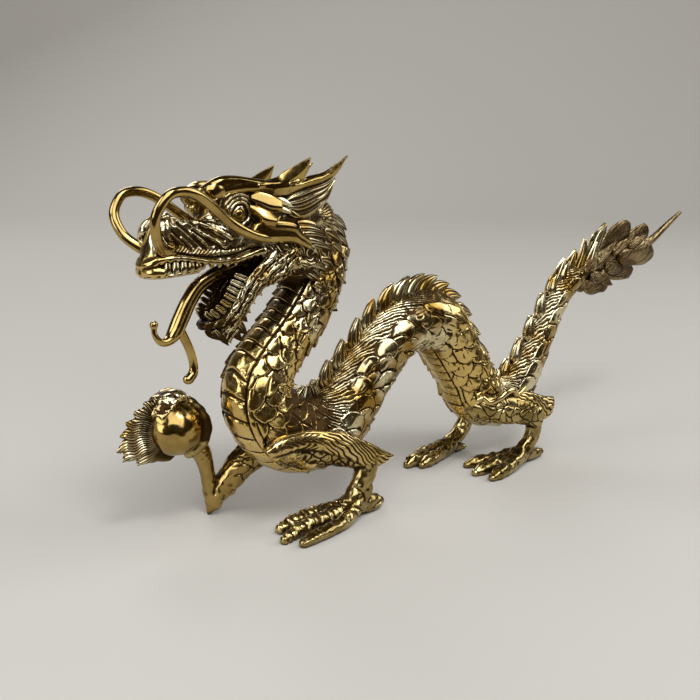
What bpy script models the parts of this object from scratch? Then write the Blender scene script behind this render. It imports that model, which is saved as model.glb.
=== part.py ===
"""Cast brass dragon that strides on three feet and one elbow and holds a flaming pearl.

One casting, so one closed solid. Lengths in this file are in millimetres until the last step.
The dragon faces -X, its left side faces -Y, and up is +Z. While it is built, x = 0 lies under
the front of its chest, y = 0 is its middle plane and z = 0 is the surface that it stands on.
"""

import math

import bmesh
import bpy
import numpy as np
from mathutils import Matrix, Vector

MM = 0.001
ACROSS = Vector((0, 1, 0))

# Where the middle of the finished casting's box lies in the building frame
BOX_MIDDLE_X = 104.78
BOX_MIDDLE_Y = 1.81

# The trunk: x, z and radius at the places where its curve or its thickness changes
TRUNK = [
    (31, 113, 9.0), (26.5, 102, 10.4), (21.5, 92.5, 11.0), (12.2, 80.5, 11.4), (3.0, 71.0, 12.0),
    (-3.2, 62.0, 13.0), (-3.4, 52.0, 14.0), (1.8, 43.0, 15.2), (9.5, 36.8, 15.8),
    (18.5, 34.2, 15.7), (28.0, 35.4, 15.2), (37.0, 41.2, 14.2), (50.6, 56.5, 12.5),
    (64.0, 69.2, 12.4), (74.0, 73.4, 12.8), (84.0, 72.8, 13.4), (93.5, 67.0, 13.4),
    (107.5, 46.5, 12.4), (114.0, 35.0, 12.8), (120.5, 28.8, 12.2), (128.5, 26.6, 11.2),
    (137.5, 28.2, 10.4), (145.8, 35.4, 8.9), (157.8, 52.0, 6.8), (167.8, 67.8, 6.1),
    (175.0, 75.4, 5.8), (184.0, 80.5, 5.2),
]
RING_STEP = 4.4
BACK_RIM = 16.0
RELIEF = 0.6
CREST_ON_NECK = 2.2
CREST_ON_BACK = 7.6
CREST_ON_TAIL = 8.0
CREST_VALLEY = 0.35
NECK_LENGTH = 96.0
BACK_LENGTH = 262.0
HALF_CIRCLE_OF_TRUNK = (0, 11, 38, 66, 94, 122, 150, 180)
BELLY_ANGLE = 136

# Upper head: x, top, underside, half width and how far the section narrows towards its top
SKULL = [
    (-50.2, 117.5, 109.8, 3.4, 0.1), (-48.6, 122.5, 108.3, 6.4, 0.3),
    (-45.5, 128.0, 108.0, 8.0, 0.6), (-41.0, 130.6, 108.6, 8.8, 0.75),
    (-35.5, 129.4, 109.4, 9.2, 0.75), (-30.0, 127.6, 110.4, 9.6, 0.7),
    (-25.5, 128.2, 110.8, 10.2, 0.6), (-22.0, 134.0, 110.6, 10.8, 0.35),
    (-16.0, 138.6, 110.0, 11.4, 0.12), (-7.0, 139.0, 108.4, 12.8, 0.05),
    (2.0, 138.2, 105.5, 13.8, 0.05), (13.0, 136.0, 103.0, 14.2, 0.05),
    (23.0, 132.6, 102.5, 13.2, 0.1), (30.5, 127.5, 105.0, 10.8, 0.1),
    (35.0, 121.0, 110.0, 6.5, 0.1),
]
# The head leans to its right, the crown more than the mouth
LEAN_OF_MOUTH = 0.096
LEAN_OF_CROWN = 0.2
MOUTH_HEIGHT = 116.0
CROWN_HEIGHT = 138.0
WHISKER_RADIUS = 1.9
TOOTH_THICKNESS = 2.4
EYE = (-16.0, 10.6, 129.2)
EYE_RADIUS = 4.2

PEARL = (-30.5, 18.0, 43.2)
PEARL_RADIUS = 11.8
FLAMES = 8
FLAME_REACH = 18.2
LONGEST_FLAME_ANGLE = 191
SOLE_DIP = 0.4
TOE_RADIUS = 2.5
THICK_TOE_RADIUS = 3.0
FACETS = 9700


def clear_scene():
    """Start from an empty scene."""
    for thing in list(bpy.data.objects):
        bpy.data.objects.remove(thing, do_unlink=True)


def smooth_stations(stations, step, rim=0.0):
    """Run a smooth curve through the stations and read it at even steps.

    The steps are even along the curve, or along its back at the distance rim where that is longer.
    """
    points = np.array(stations, float)
    before = 2 * points[0] - points[1]
    after = 2 * points[-1] - points[-2]
    padded = np.vstack([before, points, after])
    dense = []
    for i in range(1, len(padded) - 2):
        p0, p1, p2, p3 = padded[i - 1:i + 3]
        for t in np.linspace(0, 1, 24, endpoint=False):
            bend = (2 * p0 - 5 * p1 + 4 * p2 - p3) * t * t + (3 * p1 - p0 - 3 * p2 + p3) * t ** 3
            dense.append(0.5 * (2 * p1 + (p2 - p0) * t + bend))
    dense = np.array(dense + [points[-1]])
    slope = np.gradient(dense[:, :3], axis=0)
    slope /= np.linalg.norm(slope, axis=1)[:, None]
    back = dense[:, :3] + rim * np.stack([-slope[:, 2], slope[:, 1] * 0, slope[:, 0]], axis=1)
    run = np.maximum(np.linalg.norm(np.diff(dense[:, :3], axis=0), axis=1),
                     np.linalg.norm(np.diff(back, axis=0), axis=1))
    length = np.concatenate([[0], np.cumsum(run)])
    count = max(1, round(length[-1] / step))
    wanted = np.linspace(0, length[-1], count + 1)
    columns = [np.interp(wanted, length, dense[:, k]).tolist() for k in range(dense.shape[1])]
    return list(zip(*columns))


def tangents(rows):
    """Unit directions along a row of stations."""
    slopes = np.gradient(np.array(rows)[:, :3], axis=0)
    return [Vector(s).normalized() for s in slopes]


def loft(name, rings, start_point, end_point):
    """Skin a row of rings, each a list of points, and close both ends with a fan."""
    mesh = bmesh.new()
    loops = [[mesh.verts.new(p) for p in ring] for ring in rings]
    sides = len(rings[0])
    for ring, following in zip(loops, loops[1:]):
        for j in range(sides):
            k = (j + 1) % sides
            mesh.faces.new((ring[j], ring[k], following[k], following[j]))
    for ring, point in ((loops[0], start_point), (loops[-1], end_point)):
        tip = mesh.verts.new(point)
        for j in range(sides):
            mesh.faces.new((ring[j], ring[(j + 1) % sides], tip))
    return finish_piece(name, mesh)


def finish_piece(name, mesh):
    """Turn the faces outwards and make the piece an object that the union reads."""
    bmesh.ops.recalc_face_normals(mesh, faces=mesh.faces)
    if mesh.calc_volume(signed=True) < 0:
        bmesh.ops.reverse_faces(mesh, faces=mesh.faces)
    data = bpy.data.meshes.new(name)
    mesh.to_mesh(data)
    mesh.free()
    piece = bpy.data.objects.new(name, data)
    piece.hide_render = True
    piece.display_type = 'WIRE'
    bpy.context.scene.collection.objects.link(piece)
    return piece


def sweep(name, stations, sides=6, step=4.0, flat=1.0, blade=ACROSS, end=0.7):
    """Round or flattened rod through stations of x, y, z and radius.

    flat is the thickness along blade as a share of the width across it.
    """
    rows = smooth_stations(stations, step)
    directions = tangents(rows)
    rings = []
    for row, along in zip(rows, directions):
        thin = (blade - along * blade.dot(along)).normalized()
        wide = along.cross(thin)
        centre = Vector(row[:3])
        turn = [2 * math.pi * (j + 0.5) / sides for j in range(sides)]
        rings.append([centre + row[3] * (flat * math.cos(a) * thin + math.sin(a) * wide)
                      for a in turn])
    start = Vector(rows[0][:3]) - directions[0] * rows[0][3] * 0.5
    finish = Vector(rows[-1][:3]) + directions[-1] * max(rows[-1][3], 0.5) * end
    return loft(name, rings, start, finish)


def leaf(name, root, tip, width, thick=0.45, bow=(0, 0, 0), blade=ACROSS, sides=4, step=None):
    """Flame-shaped leaf: narrow at its root, widest before the middle, drawn out to a point."""
    root, tip, bow = Vector(root), Vector(tip), Vector(bow)
    shape = ((0.0, 0.30), (0.42, 0.5), (1.0, 0.05))
    stations = []
    for t, share in shape:
        place = root.lerp(tip, t) + bow * (4 * t * (1 - t))
        stations.append((*place, width * share))
    length = (tip - root).length
    return sweep(name, stations, sides=sides, step=step or length / 2, flat=thick, blade=blade,
                 end=0.4)


def ball(name, centre, radius, squash=(1, 1, 1), detail=2):
    """Round or egg-shaped form."""
    mesh = bmesh.new()
    bmesh.ops.create_icosphere(mesh, subdivisions=detail, radius=radius)
    bmesh.ops.scale(mesh, vec=Vector(squash), verts=mesh.verts)
    bmesh.ops.translate(mesh, vec=Vector(centre), verts=mesh.verts)
    return finish_piece(name, mesh)


def mirrored(point, side):
    """The same point on the left (-1) or right (1) side."""
    return (point[0], point[1] * side, point[2], *point[3:])


def crest_height(length, index):
    """How far the ridge of the back stands out at one ring, and how far its point leans on."""
    if length < 8:
        return 0.0, 0.0
    if length < NECK_LENGTH:
        return CREST_ON_NECK * (0.35, 1.0)[index % 2], 0.0
    tall = CREST_ON_BACK if length < BACK_LENGTH else CREST_ON_TAIL
    return tall * (CREST_VALLEY, 1.0)[index % 2], RING_STEP * (0.0, 0.45)[index % 2]


def make_trunk():
    """Neck, chest, arched back and tail as one tube with scales, belly plates and crest."""
    stations = [(x, 0, z, r) for x, z, r in TRUNK]
    rows = smooth_stations(stations, RING_STEP, rim=BACK_RIM)
    directions = tangents(rows)
    angles = [math.radians(a) for a in HALF_CIRCLE_OF_TRUNK]
    angles += [-a for a in reversed(angles[1:-1])]
    mesh = bmesh.new()
    loops = []
    for i, (row, along) in enumerate(zip(rows, directions)):
        centre, radius = Vector(row[:3]), row[3]
        back = Vector((-along.z, 0, along.x))
        relief = RELIEF * min(1.0, radius / 10)
        ring = []
        for j, a in enumerate(angles):
            raised = (i + j) % 2 == 0
            if abs(math.degrees(a)) > BELLY_ANGLE:
                raised = i % 2 == 0
            reach, lean = radius + (relief if raised else -relief), 0.0
            if j == 0:
                rise, lean = crest_height(i * RING_STEP, i)
                reach = radius + rise
            elif j in (1, len(angles) - 1):
                reach = radius
            ring.append(mesh.verts.new(centre + back * reach * math.cos(a)
                                       + ACROSS * reach * math.sin(a) + along * lean))
        loops.append(ring)
    count = len(angles)
    for i, (ring, following) in enumerate(zip(loops, loops[1:])):
        for j in range(count):
            k = (j + 1) % count
            if (i + j) % 2 == 0:
                mesh.faces.new((ring[j], ring[k], following[j]))
                mesh.faces.new((ring[k], following[k], following[j]))
            else:
                mesh.faces.new((ring[j], ring[k], following[k]))
                mesh.faces.new((ring[j], following[k], following[j]))
    for ring, row, along, way in ((loops[0], rows[0], directions[0], -0.5),
                                  (loops[-1], rows[-1], directions[-1], 0.5)):
        tip = mesh.verts.new(Vector(row[:3]) + along * row[3] * way)
        for j in range(count):
            mesh.faces.new((ring[j], ring[(j + 1) % count], tip))
    return [finish_piece('trunk', mesh)]


def make_tail_tuft():
    """Fan of broad leaves at the end of the tail, with one long spike beyond them."""
    spine = [(178, 0, 78, 5.4), (198, 0, 85, 4.4), (218, 0, 88, 3.4), (238, 0, 90.4, 2.2),
             (251, 0, 95.5, 1.5), (265.5, 0, 104.4, 0.5)]
    pieces = [sweep('tail spike', spine, sides=6, step=9, flat=0.8)]
    for n, (root, tip, width) in enumerate((
            ((176, 78), (187, 97.0), 9), ((183, 81), (195, 98.5), 10),
            ((191, 83), (204.5, 104.5), 13), ((205, 86), (222.5, 103.5), 14),
            ((221, 88), (240.5, 100.5), 12), ((190, 84), (209, 68.0), 14),
            ((205, 87), (228, 73.0), 14), ((221, 89), (243.5, 82.5), 13))):
        shift = 0.8 * (-1) ** n
        pieces.append(leaf(f'tuft leaf {n}', (root[0], shift, root[1]), (tip[0], shift, tip[1]),
                           width, 0.3))
    for side in (-1, 1):
        for n, x in enumerate((182, 194, 207)):
            z = float(np.interp(x, [s[0] for s in spine], [s[2] for s in spine]))
            pieces.append(leaf(f'tuft side {side} {n}', (x - 6, side * 2.5, z),
                               (x + 12, side * 6.0, z + 2), 8.5, 0.5))
    return pieces


def make_skull():
    """Upper head: roof-shaped sections from the nose over the brow to the nape."""
    sides = 12
    rings = []
    for x, top, under, half, narrow in SKULL:
        middle, tall = (top + under) / 2, (top - under) / 2
        ring = []
        for j in range(sides):
            a = 2 * math.pi * (j + 0.5) / sides
            rise = math.copysign(abs(math.cos(a)) ** 0.8, math.cos(a))
            bulge = math.copysign(abs(math.sin(a)) ** (0.6 + 0.4 * narrow), math.sin(a))
            width = half * bulge * (1 - narrow * (1 + rise) / 2)
            ring.append(Vector((x, width, middle + tall * rise)))
        rings.append(ring)
    start = (SKULL[0][0] - 1.5, 0, (SKULL[0][1] + SKULL[0][2]) / 2)
    finish = (SKULL[-1][0] + 2, 0, (SKULL[-1][1] + SKULL[-1][2]) / 2)
    return [loft('skull', rings, start, finish)]


def make_face():
    """Throat, nostrils, lip ridges, brows with antlers, eyes, ears, cheeks and mane."""
    pieces = [ball('throat', (15, 0, 103.5), 8.0, (1.2, 1.15, 0.85))]
    for side in (-1, 1):
        def at(*stations):
            return [mirrored(s, side) for s in stations]
        tag = 'left' if side < 0 else 'right'
        pieces.append(sweep(f'nose wing {tag}', at((-42, 3.0, 129.6, 1.8), (-45.4, 6.4, 125.5, 2.8),
                                                   (-44.5, 8.0, 121, 2.7), (-42, 8.3, 118.4, 1.8)),
                            sides=5, step=6))
        pieces.append(sweep(f'lip {tag}', at((-49.4, 2.5, 111.8, 2.4), (-47, 6.8, 113.8, 2.2),
                                             (-42, 8.7, 114.6, 1.7), (-30, 9.8, 113.0, 1.6),
                                             (-18, 11.0, 112.6, 1.6), (-8.5, 12.4, 115.2, 1.5)),
                            sides=5, step=8))
        pieces.append(sweep(f'brow {tag}', at((-23.4, 1.8, 135.0, 2.2), (-22.9, 2.8, 137.4, 2.8),
                                              (-17.4, 6.0, 138.4, 2.6), (-11.4, 8.6, 137.8, 2.8),
                                              (-5.4, 10.6, 137.0, 3.4), (0.4, 12.0, 137.6, 4.4),
                                              (6, 13.1, 140.2, 3.8), (12.6, 14.0, 145.0, 0.6)),
                            sides=6, step=6, flat=0.7))
        pieces.append(sweep(f'antler {tag}', at((-7, 11.2, 134.4, 2.6), (3, 12.4, 135.6, 3.4),
                                                (12, 12.5, 136.2, 3.3), (19, 12.2, 138.2, 2.8),
                                                (26, 11.8, 141.0, 2.0), (32, 11.5, 144.8, 0.5)),
                            sides=6, step=8, flat=0.7))
        pieces.append(ball(f'eye {tag}', mirrored(EYE, side), EYE_RADIUS, (1, 0.8, 1)))
        pieces.append(sweep(f'lid {tag}', at((-22.6, 9.0, 128.6, 1.3), (-21.0, 10.0, 132.3, 1.7),
                                             (-16.3, 11.4, 134.4, 1.8), (-11.2, 12.3, 131.6, 1.7),
                                             (-10.9, 12.6, 127.4, 1.4), (-15.2, 12.2, 124.6, 1.2)),
                            sides=4, step=7))
        pieces.append(leaf(f'ear {tag}', (-2, side * 12.4, 126.2), (25.0, side * 12.4, 136.4), 8.5,
                           0.5))
        pieces.append(leaf(f'ear lock {tag}', (3, side * 13.0, 122.6), (26, side * 11.8, 129.4), 9,
                           0.55))
        pieces.append(ball(f'cheek {tag}', (14, side * 11.2, 107), 7.0, (1.25, 0.55, 0.8), 1))
        for n in range(4):
            height = 123 - 9.0 * n
            pieces.append(leaf(f'mane {tag} {n}', (20 - 1.5 * n, side * 11, height + 2),
                               (36 - 2.0 * n, side * 7.0, height - 3), 9.0, 0.5))
    for n, (root, tip) in enumerate((((30, 113), (43, 107)), ((28, 101), (41, 95)),
                                     ((23.5, 90), (36.5, 84)))):
        pieces.append(leaf(f'nape spike {n}', (root[0], 0, root[1]), (tip[0], 0, tip[1]), 9, 0.5))
    return pieces


def make_whiskers():
    """Two long whiskers that loop up from the nostrils and end as leaves on the cheeks."""
    fine = WHISKER_RADIUS
    pieces = []
    for side in (-1, 1):
        def at(*stations):
            return [mirrored(s, side) for s in stations]
        tag = 'left' if side < 0 else 'right'
        pieces.append(sweep(f'whisker {tag}', at(
            (-43.5, 6.6, 116.6, fine * 1.2), (-47.4, 8.6, 119.0, fine * 1.1),
            (-51.4, 12.8, 124.0, fine), (-52.8, 16.0, 131.3, fine), (-48.8, 17.5, 137.6, fine),
            (-43.6, 17.5, 138.8, fine), (-38.4, 17.3, 137.6, fine), (-32.8, 16.4, 134.2, fine),
            (-24.6, 15.0, 127.5, fine), (-17.0, 14.4, 122.4, fine), (-10.0, 13.6, 119.6, fine)),
            sides=6, step=5))
        pieces.append(sweep(f'whisker leaf {tag}', at(
            (-11, 13.4, 119.8, 1.8), (-5, 14.0, 119.6, 2.9), (2, 14.4, 119.2, 2.7),
            (8.5, 14.2, 117.2, 2.3), (14.5, 13.4, 114.2, 0.6)), sides=6, step=7, flat=0.6))
    return pieces


def jaw_point(share, lift=0.0):
    """Place on the lower lip's middle line, from the mouth's corner (0) to the chin (1)."""
    sag = 2.6 * math.sin(math.pi * share)
    return Vector((2.6 - 29.6 * share, 0, 111.5 - 24.0 * share - sag + lift))


def tooth_row(name, gum, tooth):
    """Row of pointed teeth that are cast together, one standing on each stretch of the gum."""
    mesh = bmesh.new()
    sheets = []
    for shift in (-0.5, 0.5):
        across = ACROSS * shift * TOOTH_THICKNESS
        roots = [mesh.verts.new(p - tooth * 0.3 + across) for p in gum]
        notches = [mesh.verts.new(p + tooth * 0.15 + across) for p in gum]
        tips = [mesh.verts.new(a.lerp(b, 0.5) + tooth + across * 0.5) for a, b in zip(gum, gum[1:])]
        sheets.append((roots, notches, tips))
    for roots, notches, tips in sheets:
        for n, tip in enumerate(tips):
            mesh.faces.new((roots[n], roots[n + 1], notches[n + 1], notches[n]))
            mesh.faces.new((notches[n], notches[n + 1], tip))
    rims = []
    for roots, notches, tips in sheets:
        rim = list(roots) + [notches[-1]]
        for n in range(len(tips) - 1, -1, -1):
            rim += [tips[n], notches[n]]
        rims.append(rim)
    for k in range(len(rims[0])):
        m = (k + 1) % len(rims[0])
        mesh.faces.new((rims[0][k], rims[0][m], rims[1][m], rims[1][k]))
    return finish_piece(name, mesh)


def make_jaws():
    """Lower jaw as two lip rails and a floor, both rows of teeth, beard and forked tongue."""
    pieces = []
    for side in (-1, 1):
        tag = 'left' if side < 0 else 'right'
        rail = []
        for share in (0.0, 0.25, 0.5, 0.75, 0.92, 1.03):
            place = jaw_point(share)
            spread = side * (11.5 - 3.0 * share - 6.0 * max(0, share - 0.7) / 0.33)
            rail.append((place.x, spread, place.z, 2.5 - 0.4 * share))
        pieces.append(sweep(f'jaw rail {tag}', rail, sides=6, step=6))
        pieces.append(tooth_row(f'upper teeth {tag}', [Vector((-46.4 + 4.0 * n, side * 7.6, 113.4))
                                                       for n in range(7)],
                                Vector((0, side * 0.6, -4.6))))
        gum = [jaw_point(0.22 + 0.12 * n) for n in range(7)]
        for n, place in enumerate(gum):
            place.y = side * (8.8 - 0.5 * n)
        pieces.append(tooth_row(f'lower teeth {tag}', gum, Vector((-3.2, 0, 3.4))))
        for n in range(3):
            place = jaw_point(0.2 + 0.28 * n)
            spread = side * (8.4 - 1.1 * n)
            pieces.append(leaf(f'jaw lock {tag} {n}', (place.x - 0.6, spread, place.z - 1.0),
                               (place.x + 4.8, spread * 0.95, place.z - 5.4), 7.0, 0.55))
    floor = []
    for share, half in ((-0.06, 11.0), (0.3, 10.0), (0.6, 8.6), (0.88, 5.6), (1.0, 3.6)):
        place = jaw_point(share)
        floor.append((place.x + 1.2, 0, place.z - 1.8, half))
    pieces.append(sweep('jaw floor', floor, sides=8, step=8, flat=0.34, blade=Vector((-0.6, 0, 0.8)),
                        end=0.3))
    pieces.append(leaf('beard', (-23, 0, 88), (-13.5, 0, 77.0), 8, 0.7))
    pieces.append(leaf('beard lock', (-18, 0, 91), (-9.5, 0, 81.5), 6, 0.8))
    pieces.append(sweep('tongue', [(-8, 0, 108.5, 3.4), (-18, 0, 107.0, 3.2), (-27.4, 0, 103, 2.9),
                                   (-32.3, 0, 97.8, 2.8), (-36.3, 0, 91.5, 2.8),
                                   (-39.2, -0.6, 86.8, 3.2), (-43.0, -2.2, 84.3, 2.2),
                                   (-46.8, -3.6, 84.6, 1.7), (-49.4, -4, 87.6, 1.4),
                                   (-49.4, -4, 91.0, 1.2)],
                        sides=6, step=5, flat=0.95))
    pieces.append(sweep('tongue fork', [(-38.2, 0.4, 87.6, 2.0), (-34.8, 2.2, 82.6, 1.9),
                                        (-31.0, 3, 76.8, 1.9), (-29.6, 3, 71.4, 1.9),
                                        (-32.2, 2.6, 67.6, 2.1)], sides=6, step=4.5))
    return pieces


def lean_over(pieces, crown):
    """Lean the head to its right, so that its left side stands a little higher."""
    for piece in pieces:
        for point in piece.data.vertices:
            share = (point.co.z - MOUTH_HEIGHT) / (CROWN_HEIGHT - MOUTH_HEIGHT)
            share = min(1.0, max(0.0, share))
            lean = LEAN_OF_MOUTH + (crown - LEAN_OF_MOUTH) * share
            point.co.z -= lean * point.co.y
    return pieces


def make_head():
    """Head with its whiskers, leaning to its right."""
    carved = lean_over(make_skull() + make_face() + make_jaws(), LEAN_OF_CROWN)
    return carved + lean_over(make_whiskers(), LEAN_OF_MOUTH)


def toe(name, ankle, tip, radius=TOE_RADIUS):
    """Toe that arches from the ankle and lies flat along its last knuckles."""
    ankle, tip = Vector(ankle), Vector(tip)
    knuckle = ankle.lerp(tip, 0.45)
    knuckle.z = radius + 1.2
    pad = ankle.lerp(tip, 0.8)
    pad.z = radius * 0.85 - SOLE_DIP
    stations = [(*ankle, radius * 1.15), (*knuckle, radius), (*pad, radius * 0.95),
                (tip.x, tip.y, radius * 0.6 - SOLE_DIP, radius * 0.62)]
    return sweep(name, stations, sides=6, step=7.5)


def make_foot(tag, ankle, tips, spur, outer=TOE_RADIUS):
    """Three toes forwards, of which the last is the outer one, and one spur back."""
    pieces = [toe(f'{tag} toe {n}', ankle, (*tip, 0)) for n, tip in enumerate(tips[:2])]
    heel = Vector(ankle).lerp(Vector(spur), 0.5)
    heel.y -= 1.5 * (1 if ankle[1] < 0 else -1)
    pieces.append(toe(f'{tag} outer toe', heel, (*tips[2], 0), outer))
    pieces.append(sweep(f'{tag} spur', [(*ankle, 2.8), (*spur, 1.1)], sides=5, step=9))
    pieces.append(ball(f'{tag} ankle', ankle, 3.4, detail=1))
    return pieces


def make_left_foreleg():
    """Leg that stands: a broad leaf covers the upper arm and ends in a point at the elbow."""
    pieces = [sweep('left upper arm', [(4, -8, 34, 7.5), (20, -14, 32, 7.0), (33, -17, 27, 5.8),
                                       (40, -18, 22.5, 4.6)], sides=8, step=6)]
    pieces.append(sweep('left arm leaf', [(-8.5, -13.6, 36.4, 2.6), (1, -16.2, 37.4, 4.6),
                                          (14, -18.4, 35.4, 5.4), (28, -19.8, 30.8, 5.2),
                                          (39, -20.2, 27, 3.8), (48.5, -20, 24.6, 0.6)],
                        sides=8, step=6, flat=0.5))
    pieces.append(sweep('left forearm', [(40.5, -18, 24, 4.2), (37.6, -17.6, 15.5, 3.7),
                                         (33.2, -17.2, 10.2, 3.4), (29.5, -17, 7.2, 3.4)],
                        sides=7, step=5))
    tips = ((0.8, -8.6), (-3.0, -18.0), (1.0, -26.2))
    return pieces + make_foot('left fore', (29.5, -17.4, 6.0), tips, (46.5, -16.6, 2.2),
                              THICK_TOE_RADIUS)


def make_right_foreleg():
    """Arm that kneels on its elbow and lifts the pearl."""
    pieces = [sweep('right upper arm', [(8, 9, 31, 7.0), (-1, 14, 24, 5.4), (-7, 18, 15.5, 4.6),
                                        (-12.5, 20.6, 7.5, 4.0), (-14.8, 21.2, 1.0, 1.8)],
                    sides=7, step=5)]
    pieces.append(sweep('right forearm', [(-13.6, 20.8, 5.0, 3.4), (-15.6, 20.8, 12.5, 2.7),
                                          (-17.0, 20.2, 21.0, 2.7), (-19.0, 18.8, 29.5, 3.1),
                                          (-21.6, 18.2, 34.4, 4.3)], sides=7, step=5))
    cx, cy, cz = PEARL
    for n, turn in enumerate((-75, -25, 25, 75)):
        grip = []
        for rise in (-62, -30, 5, 40):
            a, b = math.radians(turn * (1 - abs(rise) / 160)), math.radians(rise)
            reach = PEARL_RADIUS + 0.9
            grip.append((cx + reach * math.cos(b) * math.cos(a), cy + reach * math.cos(b) * math.sin(a),
                         cz + reach * math.sin(b), 2.0 if rise < 40 else 0.7))
        pieces.append(sweep(f'claw {n}', grip, sides=4, step=9))
    return pieces


def make_pearl():
    """Pearl in a fan of flames that point forwards."""
    cx, cy, cz = PEARL
    pieces = [ball('pearl', PEARL, PEARL_RADIUS, detail=3)]
    for n in range(FLAMES):
        angle = 104 + 124 * n / (FLAMES - 1)
        a = math.radians(angle)
        swell = max(0.0, math.cos(2.2 * math.radians(angle - LONGEST_FLAME_ANGLE)))
        reach = FLAME_REACH + 8.0 * swell ** 2
        shift = 1.0 + 1.4 * (n % 2)
        root = (cx + 7.0 * math.cos(a), cy + shift, cz + 7.0 * math.sin(a))
        tip = (cx + reach * math.cos(a), cy + 1.5 * shift, cz + reach * math.sin(a))
        pieces.append(leaf(f'flame {n}', root, tip, 9.5, 0.6))
    return pieces


def make_hind_legs():
    """Two hind legs: the left one further back, the right one a short step ahead."""
    pieces = [sweep('left thigh', [(110, -8, 30, 6.0), (120, -13.5, 29.5, 8.2),
                                   (130, -17, 27.5, 7.6), (137, -18.6, 22.5, 4.4)], sides=8, step=6)]
    pieces.append(sweep('left shin', [(136.6, -18.8, 24, 4.2), (136.4, -18.9, 15, 3.4),
                                      (133.4, -18.8, 9.4, 2.8), (131, -18.4, 6.2, 3.0)],
                        sides=7, step=5))
    pieces.append(leaf('left thigh leaf', (124, -17, 33), (150, -19.4, 29.5), 11, 0.5,
                       bow=(0, 0, 1.5)))
    pieces.append(leaf('left thigh lock', (130, -17.5, 26), (147, -19.6, 22.5), 8, 0.5))
    tips = ((110.4, -6.0), (104.6, -17.6), (107.0, -25.8))
    pieces += make_foot('left hind', (131, -18.4, 5.4), tips, (144.5, -17.8, 0.8))
    pieces.append(sweep('right thigh', [(114, 5, 29, 6.0), (122, 10, 25, 7.2),
                                        (124, 11.5, 17, 4.2)], sides=8, step=6))
    pieces.append(sweep('right shin', [(124, 11.4, 19, 4.0), (122.4, 11.8, 13.5, 3.7),
                                       (118.6, 12.2, 8.4, 3.5), (113.5, 12.4, 5.0, 3.4)],
                        sides=7, step=5))
    pieces.append(leaf('right thigh leaf', (116, 12.5, 31), (138, 17.0, 28), 10, 0.5))
    tips = ((90.6, 4.8), (86.0, 14.4), (91.5, 22.0))
    pieces += make_foot('right hind', (113.5, 12.4, 4.6), tips, (125, 12.6, 1.6))
    return pieces


def brass():
    """Polished brass with a warm, slightly green gold tone."""
    material = bpy.data.materials.new('polished brass')
    material.use_nodes = True
    shader = material.node_tree.nodes['Principled BSDF']
    shader.inputs['Base Color'].default_value = (0.62, 0.43, 0.14, 1)
    shader.inputs['Metallic'].default_value = 1.0
    shader.inputs['Roughness'].default_value = 0.28
    return material


def evaluated_mesh(thing):
    """The object's mesh with its modifiers applied, as an editable copy."""
    graph = bpy.context.evaluated_depsgraph_get()
    mesh = bmesh.new()
    mesh.from_mesh(thing.evaluated_get(graph).to_mesh())
    thing.modifiers.clear()
    return mesh


def join_forms(pieces):
    """One object that is the union of every form."""
    group = bpy.data.collections.new('forms')
    for piece in pieces[1:]:
        group.objects.link(piece)
    whole = bpy.data.objects.new('dragon', pieces[0].data.copy())
    bpy.context.scene.collection.objects.link(whole)
    join = whole.modifiers.new('join forms', 'BOOLEAN')
    join.operation = 'UNION'
    join.solver = 'EXACT'
    join.operand_type = 'COLLECTION'
    join.collection = group
    return whole


def thin_out(whole, solid):
    """Melt the slivers that a union leaves along its seams."""
    bmesh.ops.triangulate(solid, faces=solid.faces)
    solid.to_mesh(whole.data)
    thin = whole.modifiers.new('thin out slivers', 'DECIMATE')
    thin.ratio = min(1.0, FACETS / len(solid.faces))
    solid.free()
    return evaluated_mesh(whole)


def cut_soles(solid):
    """Cut off what reaches below the ground, so that feet and elbow stand on flat soles."""
    everything = solid.verts[:] + solid.edges[:] + solid.faces[:]
    cut = bmesh.ops.bisect_plane(solid, geom=everything, plane_co=(0, 0, 0), plane_no=(0, 0, 1),
                                 clear_inner=True)
    rim = [e for e in cut['geom_cut'] if isinstance(e, bmesh.types.BMEdge)]
    bmesh.ops.holes_fill(solid, edges=rim, sides=0)
    bmesh.ops.triangulate(solid, faces=solid.faces)


def cast_in_one(pieces):
    """Join every form into one closed solid, trim the soles flat and scale it to metres."""
    whole = join_forms(pieces)
    solid = thin_out(whole, evaluated_mesh(whole))
    cut_soles(solid)
    place = Matrix.Scale(MM, 4) @ Matrix.Translation((-BOX_MIDDLE_X, -BOX_MIDDLE_Y, 0))
    bmesh.ops.transform(solid, matrix=place, verts=solid.verts)
    bmesh.ops.recalc_face_normals(solid, faces=solid.faces)
    solid.to_mesh(whole.data)
    solid.free()
    whole.data.materials.clear()
    whole.data.materials.append(brass())
    return whole


clear_scene()
forms = (make_trunk() + make_tail_tuft() + make_head() + make_left_foreleg()
         + make_right_foreleg() + make_pearl() + make_hind_legs())
cast_in_one(forms)
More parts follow.
